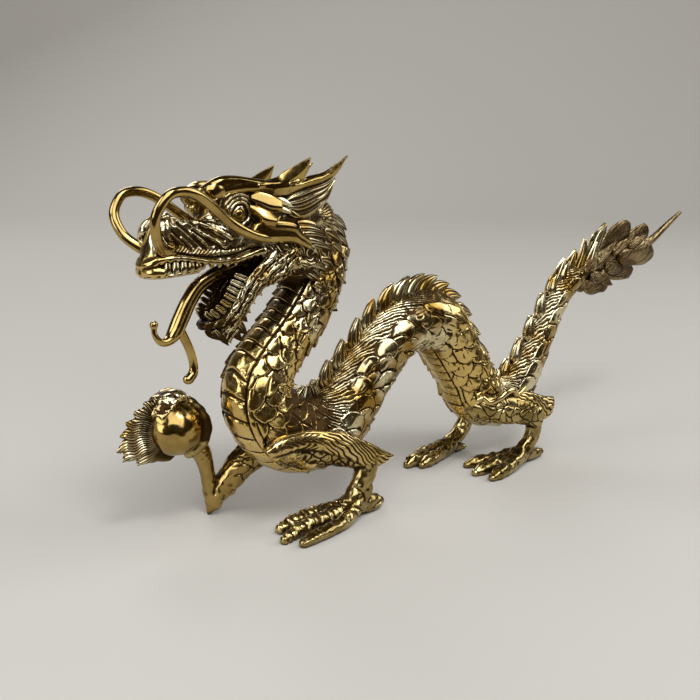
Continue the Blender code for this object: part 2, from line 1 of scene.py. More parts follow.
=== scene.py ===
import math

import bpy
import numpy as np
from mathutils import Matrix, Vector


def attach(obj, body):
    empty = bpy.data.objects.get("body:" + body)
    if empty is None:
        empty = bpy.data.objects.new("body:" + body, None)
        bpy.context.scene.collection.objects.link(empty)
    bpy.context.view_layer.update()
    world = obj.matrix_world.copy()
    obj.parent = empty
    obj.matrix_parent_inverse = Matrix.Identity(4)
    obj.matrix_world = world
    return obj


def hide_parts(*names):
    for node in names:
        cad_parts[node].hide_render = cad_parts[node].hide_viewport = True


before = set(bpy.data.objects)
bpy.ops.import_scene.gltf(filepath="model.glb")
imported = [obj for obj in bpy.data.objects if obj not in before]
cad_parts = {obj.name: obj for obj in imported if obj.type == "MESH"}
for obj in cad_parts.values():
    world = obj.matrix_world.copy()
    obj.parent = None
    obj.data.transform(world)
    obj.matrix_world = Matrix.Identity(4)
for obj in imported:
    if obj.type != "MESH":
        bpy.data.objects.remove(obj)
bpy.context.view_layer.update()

# %% [markdown]
# # A cast brass dragon
#
# The dragon is one brass casting. It strides on three clawed feet and one elbow, and lifts a
# flaming pearl in its right hand. After casting, the whole figure was darkened, and then the high
# places were polished bright again, so the carving reads as gold lines in dark hollows.
#
# The packed solid gives the pose and the main forms. This lesson models every form again, on the
# same curves, with the carving cut into the mesh, and gives it the brass.

# %% [markdown]
# ## Millimetres
#
# A figure that fits on a hand is easier to think about in millimetres. Until the last step of each
# piece, one Blender unit is one millimetre. The dragon faces -X and its left side faces -Y. x = 0
# lies under the front of its chest, y = 0 is its middle plane and z = 0 is the table. `finish`
# later moves each piece into the frame, whose middle is the middle of the figure's box.

# %% Millimetres
MM = 0.001
BOX_MIDDLE = np.array([104.78, 1.81, 0.0])
ACROSS = np.array([0.0, 1.0, 0.0])
MERGE = 0.002


def deselect_all():
    bpy.ops.object.select_all(action='DESELECT')


def read_points(piece, what='co'):
    """Places or normals of a piece's points, one row for each."""
    values = np.empty(len(piece.data.vertices) * 3, np.float32)
    piece.data.vertices.foreach_get(what, values)
    return values.reshape(-1, 3).astype(float)


def write_points(piece, points):
    piece.data.vertices.foreach_set('co', np.asarray(points, np.float32).ravel())
    piece.data.update()


print("one unit is", MM, "m while a piece is made")

# %% [markdown]
# ## Curves through a few stations
#
# A sculptor bends a wire before adding clay. Here the wire is a short list of stations, each a
# point with a radius, and a smooth curve runs through them. Reading that curve at even steps gives
# as many rings as a surface needs, from a handful of numbers that a person can still change.

# %% Curves through a few stations
READS_PER_SPAN = 24


def unit(vectors):
    return vectors / np.maximum(np.linalg.norm(vectors, axis=-1, keepdims=True), 1e-9)


def smooth_line(stations, step=1.0, count=None, rim=0.0):
    """Rows read at even steps along a smooth curve, with the distances along it as last columns.

    The steps are even along the curve, or along its back at the distance rim where that is longer.
    The last two columns are the distance along the back and the distance along the curve.
    """
    points = np.array(stations, float)
    padded = np.vstack([2 * points[0] - points[1], points, 2 * points[-1] - points[-2]])
    share = np.linspace(0, 1, READS_PER_SPAN, endpoint=False)[:, None]
    runs = []
    for p0, p1, p2, p3 in zip(padded, padded[1:], padded[2:], padded[3:]):
        bend = (2 * p0 - 5 * p1 + 4 * p2 - p3) * share ** 2
        bend = bend + (3 * p1 - p0 - 3 * p2 + p3) * share ** 3
        runs.append(0.5 * (2 * p1 + (p2 - p0) * share + bend))
    dense = np.vstack(runs + [points[-1:]])
    slope = unit(np.gradient(dense[:, :3], axis=0))
    outer = dense[:, :3] + rim * np.stack([-slope[:, 2], 0 * slope[:, 1], slope[:, 0]], axis=1)
    own = np.linalg.norm(np.diff(dense[:, :3], axis=0), axis=1)
    longer = np.maximum(own, np.linalg.norm(np.diff(outer, axis=0), axis=1))
    back = np.concatenate([[0], np.cumsum(longer)])
    middle = np.concatenate([[0], np.cumsum(own)])
    dense = np.column_stack([dense, back, middle])
    if count is None:
        count = max(2, round(back[-1] / step))
    wanted = np.linspace(0, back[-1], count + 1)
    return np.column_stack([np.interp(wanted, back, column) for column in dense.T])


def rounded_ends(rows, rings=5):
    """Add shrinking rings at both ends of rows of x, y, z and radius, so that a rod ends round."""
    rows = rows[:, :4]
    directions = unit(np.gradient(rows[:, :3], axis=0))
    turns = np.radians(np.linspace(8, 80, rings))
    caps = []
    for row, way in ((rows[0], -directions[0]), (rows[-1], directions[-1])):
        places = row[:3] + way * (row[3] * np.cos(turns))[:, None]
        caps.append(np.column_stack([places, row[3] * np.sin(turns)]))
    return np.vstack([caps[0], rows, caps[1][::-1]])


print("a quarter circle read at five places:",
      np.round(smooth_line([(1, 0, 0), (0.7, 0, 0.7), (0, 0, 1)], count=4)[:, :3], 2).tolist())

# %% [markdown]
# ## A grid rolled into a skin
#
# Every rod, leaf and body here is the same simple thing: a flat grid whose columns are rolled into
# a ring. The grid is added with the mesh operator, its points are carried to their places, the two
# edges that meet are merged, and the ends are filled. So each skin is closed, and carving can be
# worked out in the grid's own two directions, along and around, before it is rolled.

# %% A grid rolled into a skin
def close_up(piece):
    """Merge the edges that meet, fill the ends and turn the faces outwards."""
    deselect_all()
    piece.select_set(True)
    bpy.context.view_layer.objects.active = piece
    bpy.ops.object.mode_set(mode='EDIT')
    bpy.ops.mesh.select_all(action='SELECT')
    bpy.ops.mesh.remove_doubles(threshold=MERGE)
    bpy.ops.mesh.fill_holes(sides=0)
    bpy.ops.mesh.normals_make_consistent(inside=False)
    bpy.ops.object.mode_set(mode='OBJECT')


def roll(name, rings):
    """Closed skin over rings of points, an array of rings by points by three."""
    along, around = rings.shape[0] - 1, rings.shape[1]
    deselect_all()
    bpy.ops.mesh.primitive_grid_add(x_subdivisions=along, y_subdivisions=around, size=1)
    piece = bpy.context.object
    piece.name = name
    flat = read_points(piece)
    i = np.rint((flat[:, 0] + 0.5) * along).astype(int)
    j = np.rint((flat[:, 1] + 0.5) * around).astype(int) % around
    write_points(piece, rings[i, j])
    close_up(piece)
    return piece


def ring_turns(around):
    return 2 * np.pi * np.arange(around) / around


def rod(name, stations, around=24, step=0.8, flat=1.0, pressed=ACROSS, relief=None):
    """Rod with round ends, flattened along the direction pressed to the share flat."""
    rows = rounded_ends(smooth_line(stations, step))
    way = unit(np.gradient(rows[:, :3], axis=0))
    thin = unit(pressed - way * (way @ np.asarray(pressed))[:, None])
    wide = np.cross(way, thin)
    turn = ring_turns(around)
    radius = rows[:, 3:4] * np.ones(around)
    if relief is not None:
        run = np.concatenate([[0], np.cumsum(np.linalg.norm(np.diff(rows[:, :3], axis=0), axis=1))])
        radius = radius + relief(run[:, None], turn[None, :], radius)
    across = (flat * radius * np.cos(turn))[..., None] * thin[:, None]
    upright = (radius * np.sin(turn))[..., None] * wide[:, None]
    return roll(name, rows[:, None, :3] + across + upright)


def blade(name, edge_a, edge_b, thick, relief=None, along=36, around=40, tip=0.25, face=None,
          section=2.2):
    """Leaf between two edges that run from its root to its tip, lens-shaped across.

    relief gives a height for u, from root to tip, and w, from one edge (1) to the other (-1).
    section is 1 for a ridge along the middle and larger for a flatter face.
    """
    a = smooth_line(edge_a, count=along)[:, :3]
    b = smooth_line(edge_b, count=along)[:, :3]
    middle, half = (a + b) / 2, (a - b) / 2
    way = unit(np.gradient(middle, axis=0))
    normal = unit(np.cross(way, half)) if face is None else np.tile(unit(np.array(face, float)),
                                                                    (along + 1, 1))
    u = np.linspace(0, 1, along + 1)[:, None]
    turn = ring_turns(around)[None, :]
    w = np.cos(turn)
    height = thick * (1 - (1 - tip) * u ** 1.5) * (1 - np.abs(w) ** section)
    if relief is not None:
        height = height + relief(u, w) * np.abs(np.sin(turn)) ** 0.4
    height = height * np.sign(np.sin(turn))
    flat = middle[:, None] + half[:, None] * w[..., None]
    return roll(name, flat + normal[:, None] * height[..., None])


print("skins are rolled, closed and merged at", MERGE, "mm")

# %% [markdown]
# ## Waves, steps and grooves
#
# Carving by hand is never even. `ripple` is a sum of a few slow waves in space, which bends a line
# or lifts a surface a little without any repeat that the eye can find. `ease` is a soft step, and
# `furrow` is the cross-section of one cut of the graver.

# %% Waves, steps and grooves
def ripple(points, wavelength, seed):
    """Smooth random height between about -1 and 1 at each point."""
    rng = np.random.default_rng(seed)
    ways = unit(rng.normal(size=(9, 3))) * rng.uniform(0.6, 1.6, (9, 1)) * 2 * np.pi / wavelength
    phases = rng.uniform(0, 2 * np.pi, 9)
    return np.sin(np.asarray(points) @ ways.T + phases).sum(axis=-1) / 3.2


def ease(value, low, high):
    """0 below low, 1 above high, and a soft step between them."""
    t = np.clip((value - low) / (high - low), 0, 1)
    return t * t * (3 - 2 * t)


def furrow(distance, width):
    return np.exp(-(distance / width) ** 2)


print("a groove 0.3 mm wide is", round(float(furrow(0.3, 0.3)), 2), "as deep at its rim")

# %% [markdown]
# ## Brass that was darkened and rubbed bright
#
# Real antique brass gets its look in two steps: acid darkens all of it, and a buffing wheel brings
# the high places back. Each point of a finished mesh therefore remembers how deep it lies below
# what is around it, in an attribute to which `finish` also adds painted shade. A slack copy of the
# mesh is relaxed for a few rounds, and where the relaxed skin ends up outside the real one, there is
# a hollow.

# %% Brass that was darkened and rubbed bright
FINE_ROUNDS = 5
COARSE_ROUNDS = 30
COARSE_WEIGHT = 0.35


def recesses(piece):
    """How deep each point lies in a small or a broad hollow, in millimetres."""
    points, normals = read_points(piece), read_points(piece, 'normal')
    ends = np.empty(len(piece.data.edges) * 2, np.int32)
    piece.data.edges.foreach_get('vertices', ends)
    a, b = ends.reshape(-1, 2).T
    count = len(points)
    friends = np.maximum(np.bincount(np.concatenate([a, b]), minlength=count), 1)
    slack, depth = points.copy(), 0
    for turn in range(1, COARSE_ROUNDS + 1):
        slack = np.stack([(np.bincount(a, slack[b, k], count) + np.bincount(b, slack[a, k], count))
                          / friends for k in range(3)], axis=1)
        if turn in (FINE_ROUNDS, COARSE_ROUNDS):
            weight = 1.0 if turn == FINE_ROUNDS else COARSE_WEIGHT
            depth = depth + weight * np.einsum('ij,ij->i', slack - points, normals)
    return depth


print("hollows are measured after", FINE_ROUNDS, "and", COARSE_ROUNDS, "rounds of relaxing")

# %% [markdown]
# A material is a small network of nodes. Written out in full, each node takes several lines, and the
# idea of the material is lost among them. So a few short words come first, one for each kind of node
# that the brasses need. Patterns read Object coordinates, so they stay on the metal when the figure
# is turned.

# %% Short words for material nodes
class Recipe:
    """The nodes of one material."""

    def __init__(self, name):
        self.material = bpy.data.materials.new(name)
        self.material.use_nodes = True
        self.nodes = self.material.node_tree.nodes
        self.links = self.material.node_tree.links
        self.shader = self.nodes['Principled BSDF']
        self.place = self.add('ShaderNodeTexCoord').outputs['Object']

    def add(self, kind, **settings):
        node = self.nodes.new(kind)
        for key, value in settings.items():
            setattr(node, key, value)
        return node

    def feed(self, socket, value):
        """Link another socket to this one, or set it to a number or a colour."""
        if isinstance(value, bpy.types.NodeSocket):
            self.links.new(value, socket)
        else:
            socket.default_value = (*value, 1) if isinstance(value, tuple) else value

    def attribute(self, name):
        return self.add('ShaderNodeAttribute', attribute_name=name).outputs['Fac']

    def noise(self, scale, detail, roughness=0.6, place=None):
        node = self.add('ShaderNodeTexNoise')
        node.inputs['Scale'].default_value = scale
        node.inputs['Detail'].default_value = detail
        node.inputs['Roughness'].default_value = roughness
        self.feed(node.inputs['Vector'], self.place if place is None else place)
        return node.outputs['Fac']

    def spread(self, value, low, high, out_low=0.0, out_high=1.0):
        """A number carried softly from the range low to high to the range out_low to out_high."""
        node = self.add('ShaderNodeMapRange', interpolation_type='SMOOTHSTEP')
        for index, number in enumerate((value, low, high, out_low, out_high)):
            self.feed(node.inputs[index], number)
        return node.outputs[0]

    def combine(self, operation, left, right):
        node = self.add('ShaderNodeMath', operation=operation, use_clamp=True)
        self.feed(node.inputs[0], left)
        self.feed(node.inputs[1], right)
        return node.outputs[0]

    def mix(self, share, left, right):
        node = self.add('ShaderNodeMix', data_type='RGBA')
        for index, value in ((0, share), (6, left), (7, right)):
            self.feed(node.inputs[index], value)
        return node.outputs[2]


print("a recipe has", len([word for word in vars(Recipe) if not word.startswith('_')]), "short words")

# %% [markdown]
# One function makes every brass. It mixes a bright gold with a brown-black patina by three masks:
# the stored recess, to which painted shade was added, the nearness of other brass and of the floor
# (ambient occlusion over four millimetres, which finds the gap between two leaves and paints shade
# near the floor), and a slow stain. A second attribute, `warmth`, turns the gold redder in places.
# The polished parts have hardly any patina, the feet are a greener and darker metal, and the end of
# the tail is dark with fine strands: noise that is drawn out along the tail.

# %% The brass materials
PATINA = (0.044, 0.021, 0.003)
WARM_SHARE = (0.95, 0.76, 0.40)
PATINA_METALLIC, PATINA_ROUGHNESS = 0.9, 0.5
GAP = 4.0 * MM
GRAIN_DEPTH = 0.12 * MM
STRAND_RISE = 35
STRAND_LENGTH, STRAND_WIDTH = 12 * MM, 1.0 * MM


def drawn_out(recipe):
    """Noise drawn out into strands that rise with the end of the tail."""
    strand = recipe.add('ShaderNodeMapping', vector_type='TEXTURE')
    strand.inputs['Rotation'].default_value = (0, math.radians(-STRAND_RISE), 0)
    strand.inputs['Scale'].default_value = (STRAND_LENGTH, STRAND_WIDTH, STRAND_WIDTH)
    recipe.feed(strand.inputs['Vector'], recipe.place)
    return recipe.noise(1.0, 3, 0.5, strand.outputs[0])


def brass(name, gold, shade, polish=0.17, first=0.0, full=0.07, stain=0.45, grain=0.12, strands=0.0):
    """Brass from gold to shade, dark where the stored recess with its painted shade is deeper than first
    up to full, in mm.
    """
    it = Recipe(name)
    # Patina in the gaps between pieces, and painted shade: the occlusion also darkens the brass near the
    # floor.
    near = it.add('ShaderNodeAmbientOcclusion', samples=4)
    near.inputs['Distance'].default_value = GAP
    hollow_and_painted_shade = it.combine('MAXIMUM', it.spread(it.attribute('recess'), first, full),
                        it.spread(near.outputs['AO'], 0.7, 0.28))
    relief = it.combine('ADD', it.noise(700, 4), it.combine('MULTIPLY', it.noise(2600, 2), 0.35))
    if strands:
        lines = drawn_out(it)
        between = it.combine('MULTIPLY', it.spread(lines, 0.48, 0.62), strands)
        hollow_and_painted_shade = it.combine('MAXIMUM', hollow_and_painted_shade, between)
        relief = it.combine('ADD', it.combine('MULTIPLY', relief, 0.3),
                            it.spread(lines, 0.64, 0.42, 0.0, 0.7))
    speckled = it.combine('MULTIPLY', it.spread(it.noise(150, 4), 0.42, 0.7),
                          it.spread(it.noise(900, 3), 0.45, 0.75))
    dark = it.combine('ADD', hollow_and_painted_shade, it.combine('MULTIPLY', speckled, stain))
    tone = it.mix(it.spread(it.noise(70, 3), 0.35, 0.65), gold, shade)
    warm = it.mix(it.attribute('warmth'), tone, tuple(g * w for g, w in zip(gold, WARM_SHARE)))
    it.feed(it.shader.inputs['Base Color'], it.mix(dark, warm, PATINA))
    it.feed(it.shader.inputs['Metallic'], it.spread(dark, 0.2, 1.0, 1.0, PATINA_METALLIC))
    rough = it.add('ShaderNodeMix', data_type='FLOAT')
    wear = it.spread(it.noise(420, 4), 0.3, 0.8, polish * 0.8, polish * 1.5)
    for index, value in ((0, dark), (2, wear), (3, PATINA_ROUGHNESS)):
        it.feed(rough.inputs[index], value)
    it.feed(it.shader.inputs['Roughness'], rough.outputs[0])
    bump = it.add('ShaderNodeBump')
    bump.inputs['Strength'].default_value = grain
    bump.inputs['Distance'].default_value = GRAIN_DEPTH
    it.feed(bump.inputs['Height'], relief)
    it.feed(it.shader.inputs['Normal'], bump.outputs['Normal'])
    return it.material


carved = brass('carved brass', (0.71, 0.625, 0.375), (0.31, 0.185, 0.035))
polished = brass('polished brass', (0.46, 0.32, 0.10), (0.30, 0.20, 0.06), polish=0.14, first=0.03,
                 full=0.2, stain=0.2, grain=0.06)
striated = brass('dark striated brass', (0.34, 0.25, 0.11), (0.17, 0.105, 0.04), polish=0.22,
                 first=-0.03, full=0.06, stain=0.5, grain=0.9, strands=0.9)
footed = brass('green-brown brass', (0.52, 0.40, 0.165), (0.23, 0.16, 0.045), polish=0.19, stain=0.5)
print("materials:", [m.name for m in bpy.data.materials if 'brass' in m.name])

# %% [markdown]
# ## Finishing a piece
#
# Each finished piece is moved into the frame, scaled to metres with its place in its mesh, shaded
# smooth, given its brass, and told that it rides on the figure's one body, and the solid dragon that
# the pieces stand for is hidden. A game or a shop page can't show millions of triangles, so the
# modifier Decimate drops every second one where the surface is flattest. The attributes are stored
# before it, while the mesh is still even. What is left is printed: under 200,000 triangles in each
# piece, and under a million in all.

# %% Finishing a piece
KEPT_SHARE = 0.5
# Painted shade: points that face down are darkened, as the shade under the figure would darken them.
UNDERSIDE_PAINTED_SHADE = 0.05


def triangles(piece):
    return sum(len(face.vertices) - 2 for face in piece.data.polygons)


def apply_modifier(piece, kind, **settings):
    deselect_all()
    piece.select_set(True)
    bpy.context.view_layer.objects.active = piece
    modifier = piece.modifiers.new(kind.lower(), kind)
    for key, value in settings.items():
        setattr(modifier, key, value)
    bpy.ops.object.modifier_apply(modifier=modifier.name)
    return piece


def store(piece, name, values):
    """Keep one number for each point, as an attribute that the brass reads."""
    layer = piece.data.attributes.new(name, 'FLOAT', 'POINT')
    layer.data.foreach_set('value', np.asarray(values, np.float32))


def finish(piece, material, warmth=None, stain_and_painted_shade=None, share=KEPT_SHARE):
    """Patina and painted shade, fewer triangles, metres, material and place in the frame.

    warmth gives the places of a redder gold, the next function the places that are darker, by stains
    in a few pieces and by painted shade in most, and share how many of the triangles are kept.
    """
    depth = recesses(piece)
    # Painted shade on the undersides, and stains and more painted shade from the next function, all
    # added to the stored recess.
    dark = UNDERSIDE_PAINTED_SHADE * ease(-read_points(piece, 'normal')[:, 2], 0.25, 0.9)
    if stain_and_painted_shade is not None:
        dark = dark + stain_and_painted_shade(read_points(piece))
    store(piece, 'recess', depth + dark)
    if warmth is not None:
        store(piece, 'warmth', warmth(read_points(piece)))
    if share < 1:
        apply_modifier(piece, 'DECIMATE', ratio=share)
    write_points(piece, (read_points(piece) - BOX_MIDDLE) * MM)
    piece.data.materials.clear()
    piece.data.materials.append(material)
    piece.data.shade_smooth()
    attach(piece, "root")
    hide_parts("dragon")
    print(f"{piece.name}: {triangles(piece)} triangles, hollows to {depth.max():.2f} mm")


def join(name, pieces):
    """Several skins as one object."""
    deselect_all()
    for piece in pieces:
        piece.select_set(True)
    bpy.context.view_layer.objects.active = pieces[0]
    if len(pieces) > 1:
        bpy.ops.object.join()
    pieces[0].name = name
    return pieces[0]


def fuse(name, pieces, voxel, relax=3):
    """One skin over several forms, with a small fillet where they meet."""
    whole = join(name, pieces)
    apply_modifier(whole, 'REMESH', mode='VOXEL', voxel_size=voxel)
    return apply_modifier(whole, 'SMOOTH', factor=0.5, iterations=relax)


print("pieces will stand for the nodes", sorted(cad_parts))

# %% [markdown]
# ## The trunk
#
# Neck, chest, arched back and tail are one long tube that gets thicker and thinner. It could be a
# bevelled curve, but then the scales would have nowhere to go. Instead its rings are worked out
# here, close enough together (a third of a millimetre) that a scale's edge is real geometry. The
# trunk is rolled in three pieces, because a piece should stay under 200,000 triangles.

# %% The trunk's curve
TRUNK = [
    (31, 113, 9.0), (26.5, 102, 10.4), (21.5, 92.5, 11.0), (12.2, 80.5, 11.4), (3.0, 71.0, 12.0),
    (-3.2, 62.0, 13.0), (-3.4, 52.0, 14.0), (1.8, 43.0, 15.2), (9.5, 36.8, 15.8),
    (18.5, 34.2, 15.7), (28.0, 35.4, 15.2), (37.0, 41.2, 14.2), (50.6, 56.5, 12.5),
    (64.0, 69.2, 12.4), (74.0, 73.4, 12.8), (84.0, 72.8, 13.4), (93.5, 67.0, 13.4),
    (107.5, 46.5, 12.4), (114.0, 35.0, 12.8), (120.5, 28.8, 12.2), (128.5, 26.6, 11.2),
    (137.5, 28.2, 10.4), (145.8, 35.4, 8.9), (157.8, 52.0, 6.8), (167.8, 67.8, 6.1),
    (175.0, 75.4, 5.8), (184.0, 80.5, 5.2),
]
BACK_RIM = 16.0
TRUNK_STEP = 0.36
RADIUS, BACK, ALONG = 3, 4, 5
trunk_rows = smooth_line([(x, 0, z, r) for x, z, r in TRUNK], TRUNK_STEP, rim=BACK_RIM)
print("the trunk is", round(trunk_rows[-1, ALONG], 1), "mm long, its back",
      round(trunk_rows[-1, BACK], 1), "mm, in", len(trunk_rows), "rings")

# %% [markdown]
# ## Scales, belly plates and combed hair
#
# Three kinds of carving share the trunk. Below the throat and along the belly run broad plates,
# bordered by a deep line. On the flanks lie overlapping scales, rounded towards the tail, each with
# a few short cuts near its root. Over the arch of the back and down the tail, the hair of the crest
# is combed down and back, in ridges that leave the crest steeply and then lie at a slant.
#
# A scale could be modelled once and copied hundreds of times. As a height worked out for each
# point it costs no more faces, follows every bend, and melts into the body as a casting does.

# %% Overlapping scales
SCALE_LENGTH = 2.5
SCALE_OVERLAP = 1.06
CHANCES = 997
COLUMN_KEY, ROW_KEY = 37, 101


def border_angle(back):
    """Angle from the spine to the deep line beside the belly, which lies lower behind the arch."""
    return np.interp(back, [0, 150, 200], [139, 141, 150])


def one_scale(v, x, half, thick, chance):
    """Height of one scale at v from root to tip and x across it, and the distance to its edge."""
    width = np.sqrt(np.clip(1 - np.clip((v - 0.5) / 0.5, 0, 1) ** 2.2, 0, 1))
    edge = (width - np.abs(x)) * half
    tilt = 0.24 * chance[0] * x * half + 0.2 * chance[1] * (v - 0.7) * half
    crown = 0.5 * (1 - x ** 2) + 0.2 * furrow(edge - 0.5, 0.26)
    vein = x - 0.14 * chance[2] - 0.5 * np.sign(x)
    cut = furrow(np.minimum(np.abs(vein), np.abs(x)) * half, 0.2) * ease(v, 0.42, 0.5)
    cut = 0.22 * cut * (1 - ease(v, 0.62, 0.78)) * (chance[3] > -0.3)
    return thick * v + crown + tilt - cut, edge


def scale_relief(along, below, radius, column_angle, row_step, thick, room, seed):
    """Height of fish-like scales in columns over the room above the border, or -1 for none.

    below is the angle between each point and the border of the belly. Every scale reads its own six
    chances from one table, so that no two beside each other are alike.
    """
    chances = np.random.default_rng(seed).uniform(-1, 1, (6, CHANCES))
    column = below / column_angle - 0.5
    pitch = 2 * row_step
    half = np.radians(column_angle) * radius * SCALE_OVERLAP
    best = np.full(column.shape, -1.0)
    around = []
    for shift in (-1, 0, 1):
        c = np.rint(column) + shift
        there = (c >= -1) & ((c + 0.5) * column_angle < room)
        phase = along / pitch - np.mod(c, 2) / 2
        for ahead in (1, 2):
            k = np.floor(phase) + ahead
            chance = chances[:, np.mod(c * COLUMN_KEY + k * ROW_KEY + 450, CHANCES).astype(int)]
            v = 1 - ((k - phase) * pitch + 0.5 * chance[4]) / (SCALE_LENGTH * row_step)
            x = (column - c) / SCALE_OVERLAP + 0.07 * chance[5]
            height, edge = one_scale(v, x, half, thick, chance)
            there = there & (v > 0.1)
            best = np.where(there & (v < 1) & (edge > 0) & (height > best), height, best)
            around.append((np.where(there & (v < 1.12), height, -1.0), edge))
    shade = 0
    for height, edge in around:
        outside = np.where((edge < 0.06) & (height > best - 0.25), -edge, 9.0)
        shade = np.maximum(shade, furrow(outside - 0.16, 0.38))
    return np.where(best > 0, np.maximum(best - 0.85 * shade, 0.02), -1.0)


print("a scale is", SCALE_LENGTH, "rows long, so each row covers most of the one behind it")

# %% Belly plates and combed hair
PLATE_STEP = 5.1


def plate_relief(along, angle, border_at, radius, places):
    """Height of the flat plates under the body, parted by deep joints."""
    from_middle = np.radians(180 - angle) * radius
    run = along - 0.05 * from_middle ** 1.5 + 0.25 * ripple(places, 17, 3)
    share = np.mod(run / PLATE_STEP, 1)
    to_joint = np.minimum(share, 1 - share) * PLATE_STEP
    border = np.radians(angle - border_at) * radius
    height = 0.22 * share + 0.4 - 0.95 * furrow(to_joint, 0.36)
    height = height - 0.25 * furrow(to_joint - 1.1, 0.3) * furrow(border - 2.4, 1.6)
    return height * ease(border, 0.1, 0.9) - 1.0 * furrow(border, 0.5)


HAIR_BACKS = np.arange(0, 440)
HAIR_PITCH = np.interp(HAIR_BACKS, [165, 190, 240, 270], [2.9, 1.9, 1.9, 3.0])
HAIR_TURNS = np.cumsum(1 / HAIR_PITCH)


def hair_relief(back, arc, places):
    """Height of ridges of hair that leave the crest and lie at a slant to the body."""
    slant = np.interp(back, [170, 200, 240, 290], [36, 26, 30, 38])
    lead = np.interp(back, [250, 290], [9, 3])
    start = back - arc / np.tan(np.radians(slant)) - lead * (1 - np.exp(-arc / 4))
    phase = np.interp(start, HAIR_BACKS, HAIR_TURNS)
    phase = phase + 0.25 * ripple(places, 8, 5) + 0.12 * ripple(places, 3, 55)
    ridge = np.abs(np.sin(np.pi * phase)) ** 0.6
    lock = furrow((np.mod(phase / 3 + 0.5, 1) - 0.5) * 8, 0.6)
    return ridge - 0.55 * lock + 0.2 * ripple(places, 6, 65)


print("plates every", PLATE_STEP, "mm")

# %% [markdown]
# ## Rolling the trunk
#
# The same function carves all three pieces. It reads two distances: the one along the curve, which
# is true on the flanks, spaces the scales and plates, and the one along the back spaces the hair.
# The hair starts in the hollow behind the neck, where it reaches down to the belly plates. It then
# covers the upper flank of the arch, and nearly all of the tail. On the neck there is none, and the
# scales run up to the spine.

# %% Rolling the trunk
HAIR_FROM = 92.0
SCALE_SEED = 11


def hair_limit(back):
    """Angle from the spine down to which the hair reaches at this distance along the back."""
    return np.interp(back, [0, HAIR_FROM, 104, 118, 134, 150, 190, 225, 262, 275, 292, 420],
                     [14, 14, 56, 84, 66, 44, 50, 58, 42, 45, 74, 72])


def trunk_piece(name, first, last, around, column_angle, row_step, thick):
    """Roll and carve the stretch of the trunk between two distances along its back.

    The scales stand in columns, each column_angle wide, and rows, each row_step long.
    """
    chosen = trunk_rows[(trunk_rows[:, BACK] >= first) & (trunk_rows[:, BACK] <= last)]
    way = unit(np.gradient(chosen[:, :3], axis=0))
    up = np.stack([-way[:, 2], 0 * way[:, 1], way[:, 0]], axis=1)
    turn = ring_turns(around)[None, :]
    radius = chosen[:, RADIUS][:, None] * np.ones_like(turn)
    angle = np.degrees(np.minimum(turn, 2 * np.pi - turn)) * np.ones_like(radius)
    out = up[:, None] * np.cos(turn)[..., None] + ACROSS * np.sin(turn)[..., None]
    bare = chosen[:, None, :3] + out * radius[..., None]
    along = chosen[:, ALONG][:, None] * np.ones_like(radius)
    back = chosen[:, BACK][:, None] * np.ones_like(radius)
    limit = hair_limit(back)
    border = border_angle(back)
    scales = scale_relief(along, border - angle, radius, column_angle, row_step, thick,
                          border - limit - 2, SCALE_SEED)
    hair = hair_relief(back, np.radians(angle) * radius, bare)
    hair = hair * ease(limit + 18 - angle, 0, 12) * ease(back, HAIR_FROM - 6, HAIR_FROM + 8)
    flank = np.where(scales > 0, scales, 0.9 * hair)
    plates = plate_relief(along, angle, border, radius, bare)
    height = np.where(angle > border - 2.2, plates, flank) - 0.45
    height = height * np.minimum(1, radius / 10)
    height = height + 0.12 * ripple(bare, 6, 8) + 0.05 * ripple(bare, 2.6, 9)
    return roll(name, bare + out * height[..., None])


neck = trunk_piece('neck_and_chest', first=0, last=121, around=208, column_angle=20,
                   row_step=4.35, thick=1.4)
arch = trunk_piece('arched_back', first=120.6, last=277, around=204, column_angle=22,
                   row_step=4.75, thick=1.5)
tail = trunk_piece('tail', first=276.6, last=500, around=170, column_angle=36,
                   row_step=4.6, thick=1.3)

# %% [markdown]
# The chest and the falling side of the arch are a warm gold. The throat, the hair on top of the arch,
# and above all the hollow between neck and arch are darkened with painted shade. Each of these is a
# soft patch around a place that was read in the photograph.

# %% Warm gold and painted shade of the trunk
SADDLE_X, SADDLE_Z = 14, 48


def belly_warmth(points):
    """The polished plates of the chest are a warm gold."""
    chest = 1 - ease(points[:, 0], 6, 22)
    return 0.8 * chest * ease(-points[:, 2], -95, -70)


def trunk_painted_shade(points):
    """Painted shade in the bottom of the hollow between neck and arch, and on the throat."""
    x, _, z = points.T
    saddle = ease(14 - np.hypot((x - SADDLE_X) / 1.3, z - SADDLE_Z), 0, 6)
    throat = ease(z, 82, 88) * ease(11 - x + 0.3 * (z - 90), 0, 4)
    return np.maximum(0.45 * saddle, 0.13 * throat)


def arch_warmth(points):
    """The falling side of the arch is a redder gold."""
    return 0.9 * ease(points[:, 0], 80, 94) * (1 - ease(points[:, 0], 124, 134))


def arch_painted_shade(points):
    """Painted shade on the hair on top of the arch, less on its upper flank and a little all over."""
    x, y, z = points.T
    top = ease(z, 74, 81) * ease(x, 58, 72) * (1 - ease(np.abs(y), 8, 11))
    flank = ease(z, 68, 76) * ease(x, 66, 78)
    return np.maximum(trunk_painted_shade(points), 0.04 + 0.035 * flank + 0.26 * top)


finish(neck, carved, belly_warmth, trunk_painted_shade)
finish(arch, carved, arch_warmth, arch_painted_shade)
finish(tail, carved)

# %% [markdown]
# ## The crest
#
# A row of leaf-shaped spines stands on the back, each leaning towards the tail and covering the
# root of the next. One leaf between two edges makes one spine. The row reads the trunk's own curve,
# so that the spines turn with it, and their cuts run from root to point.

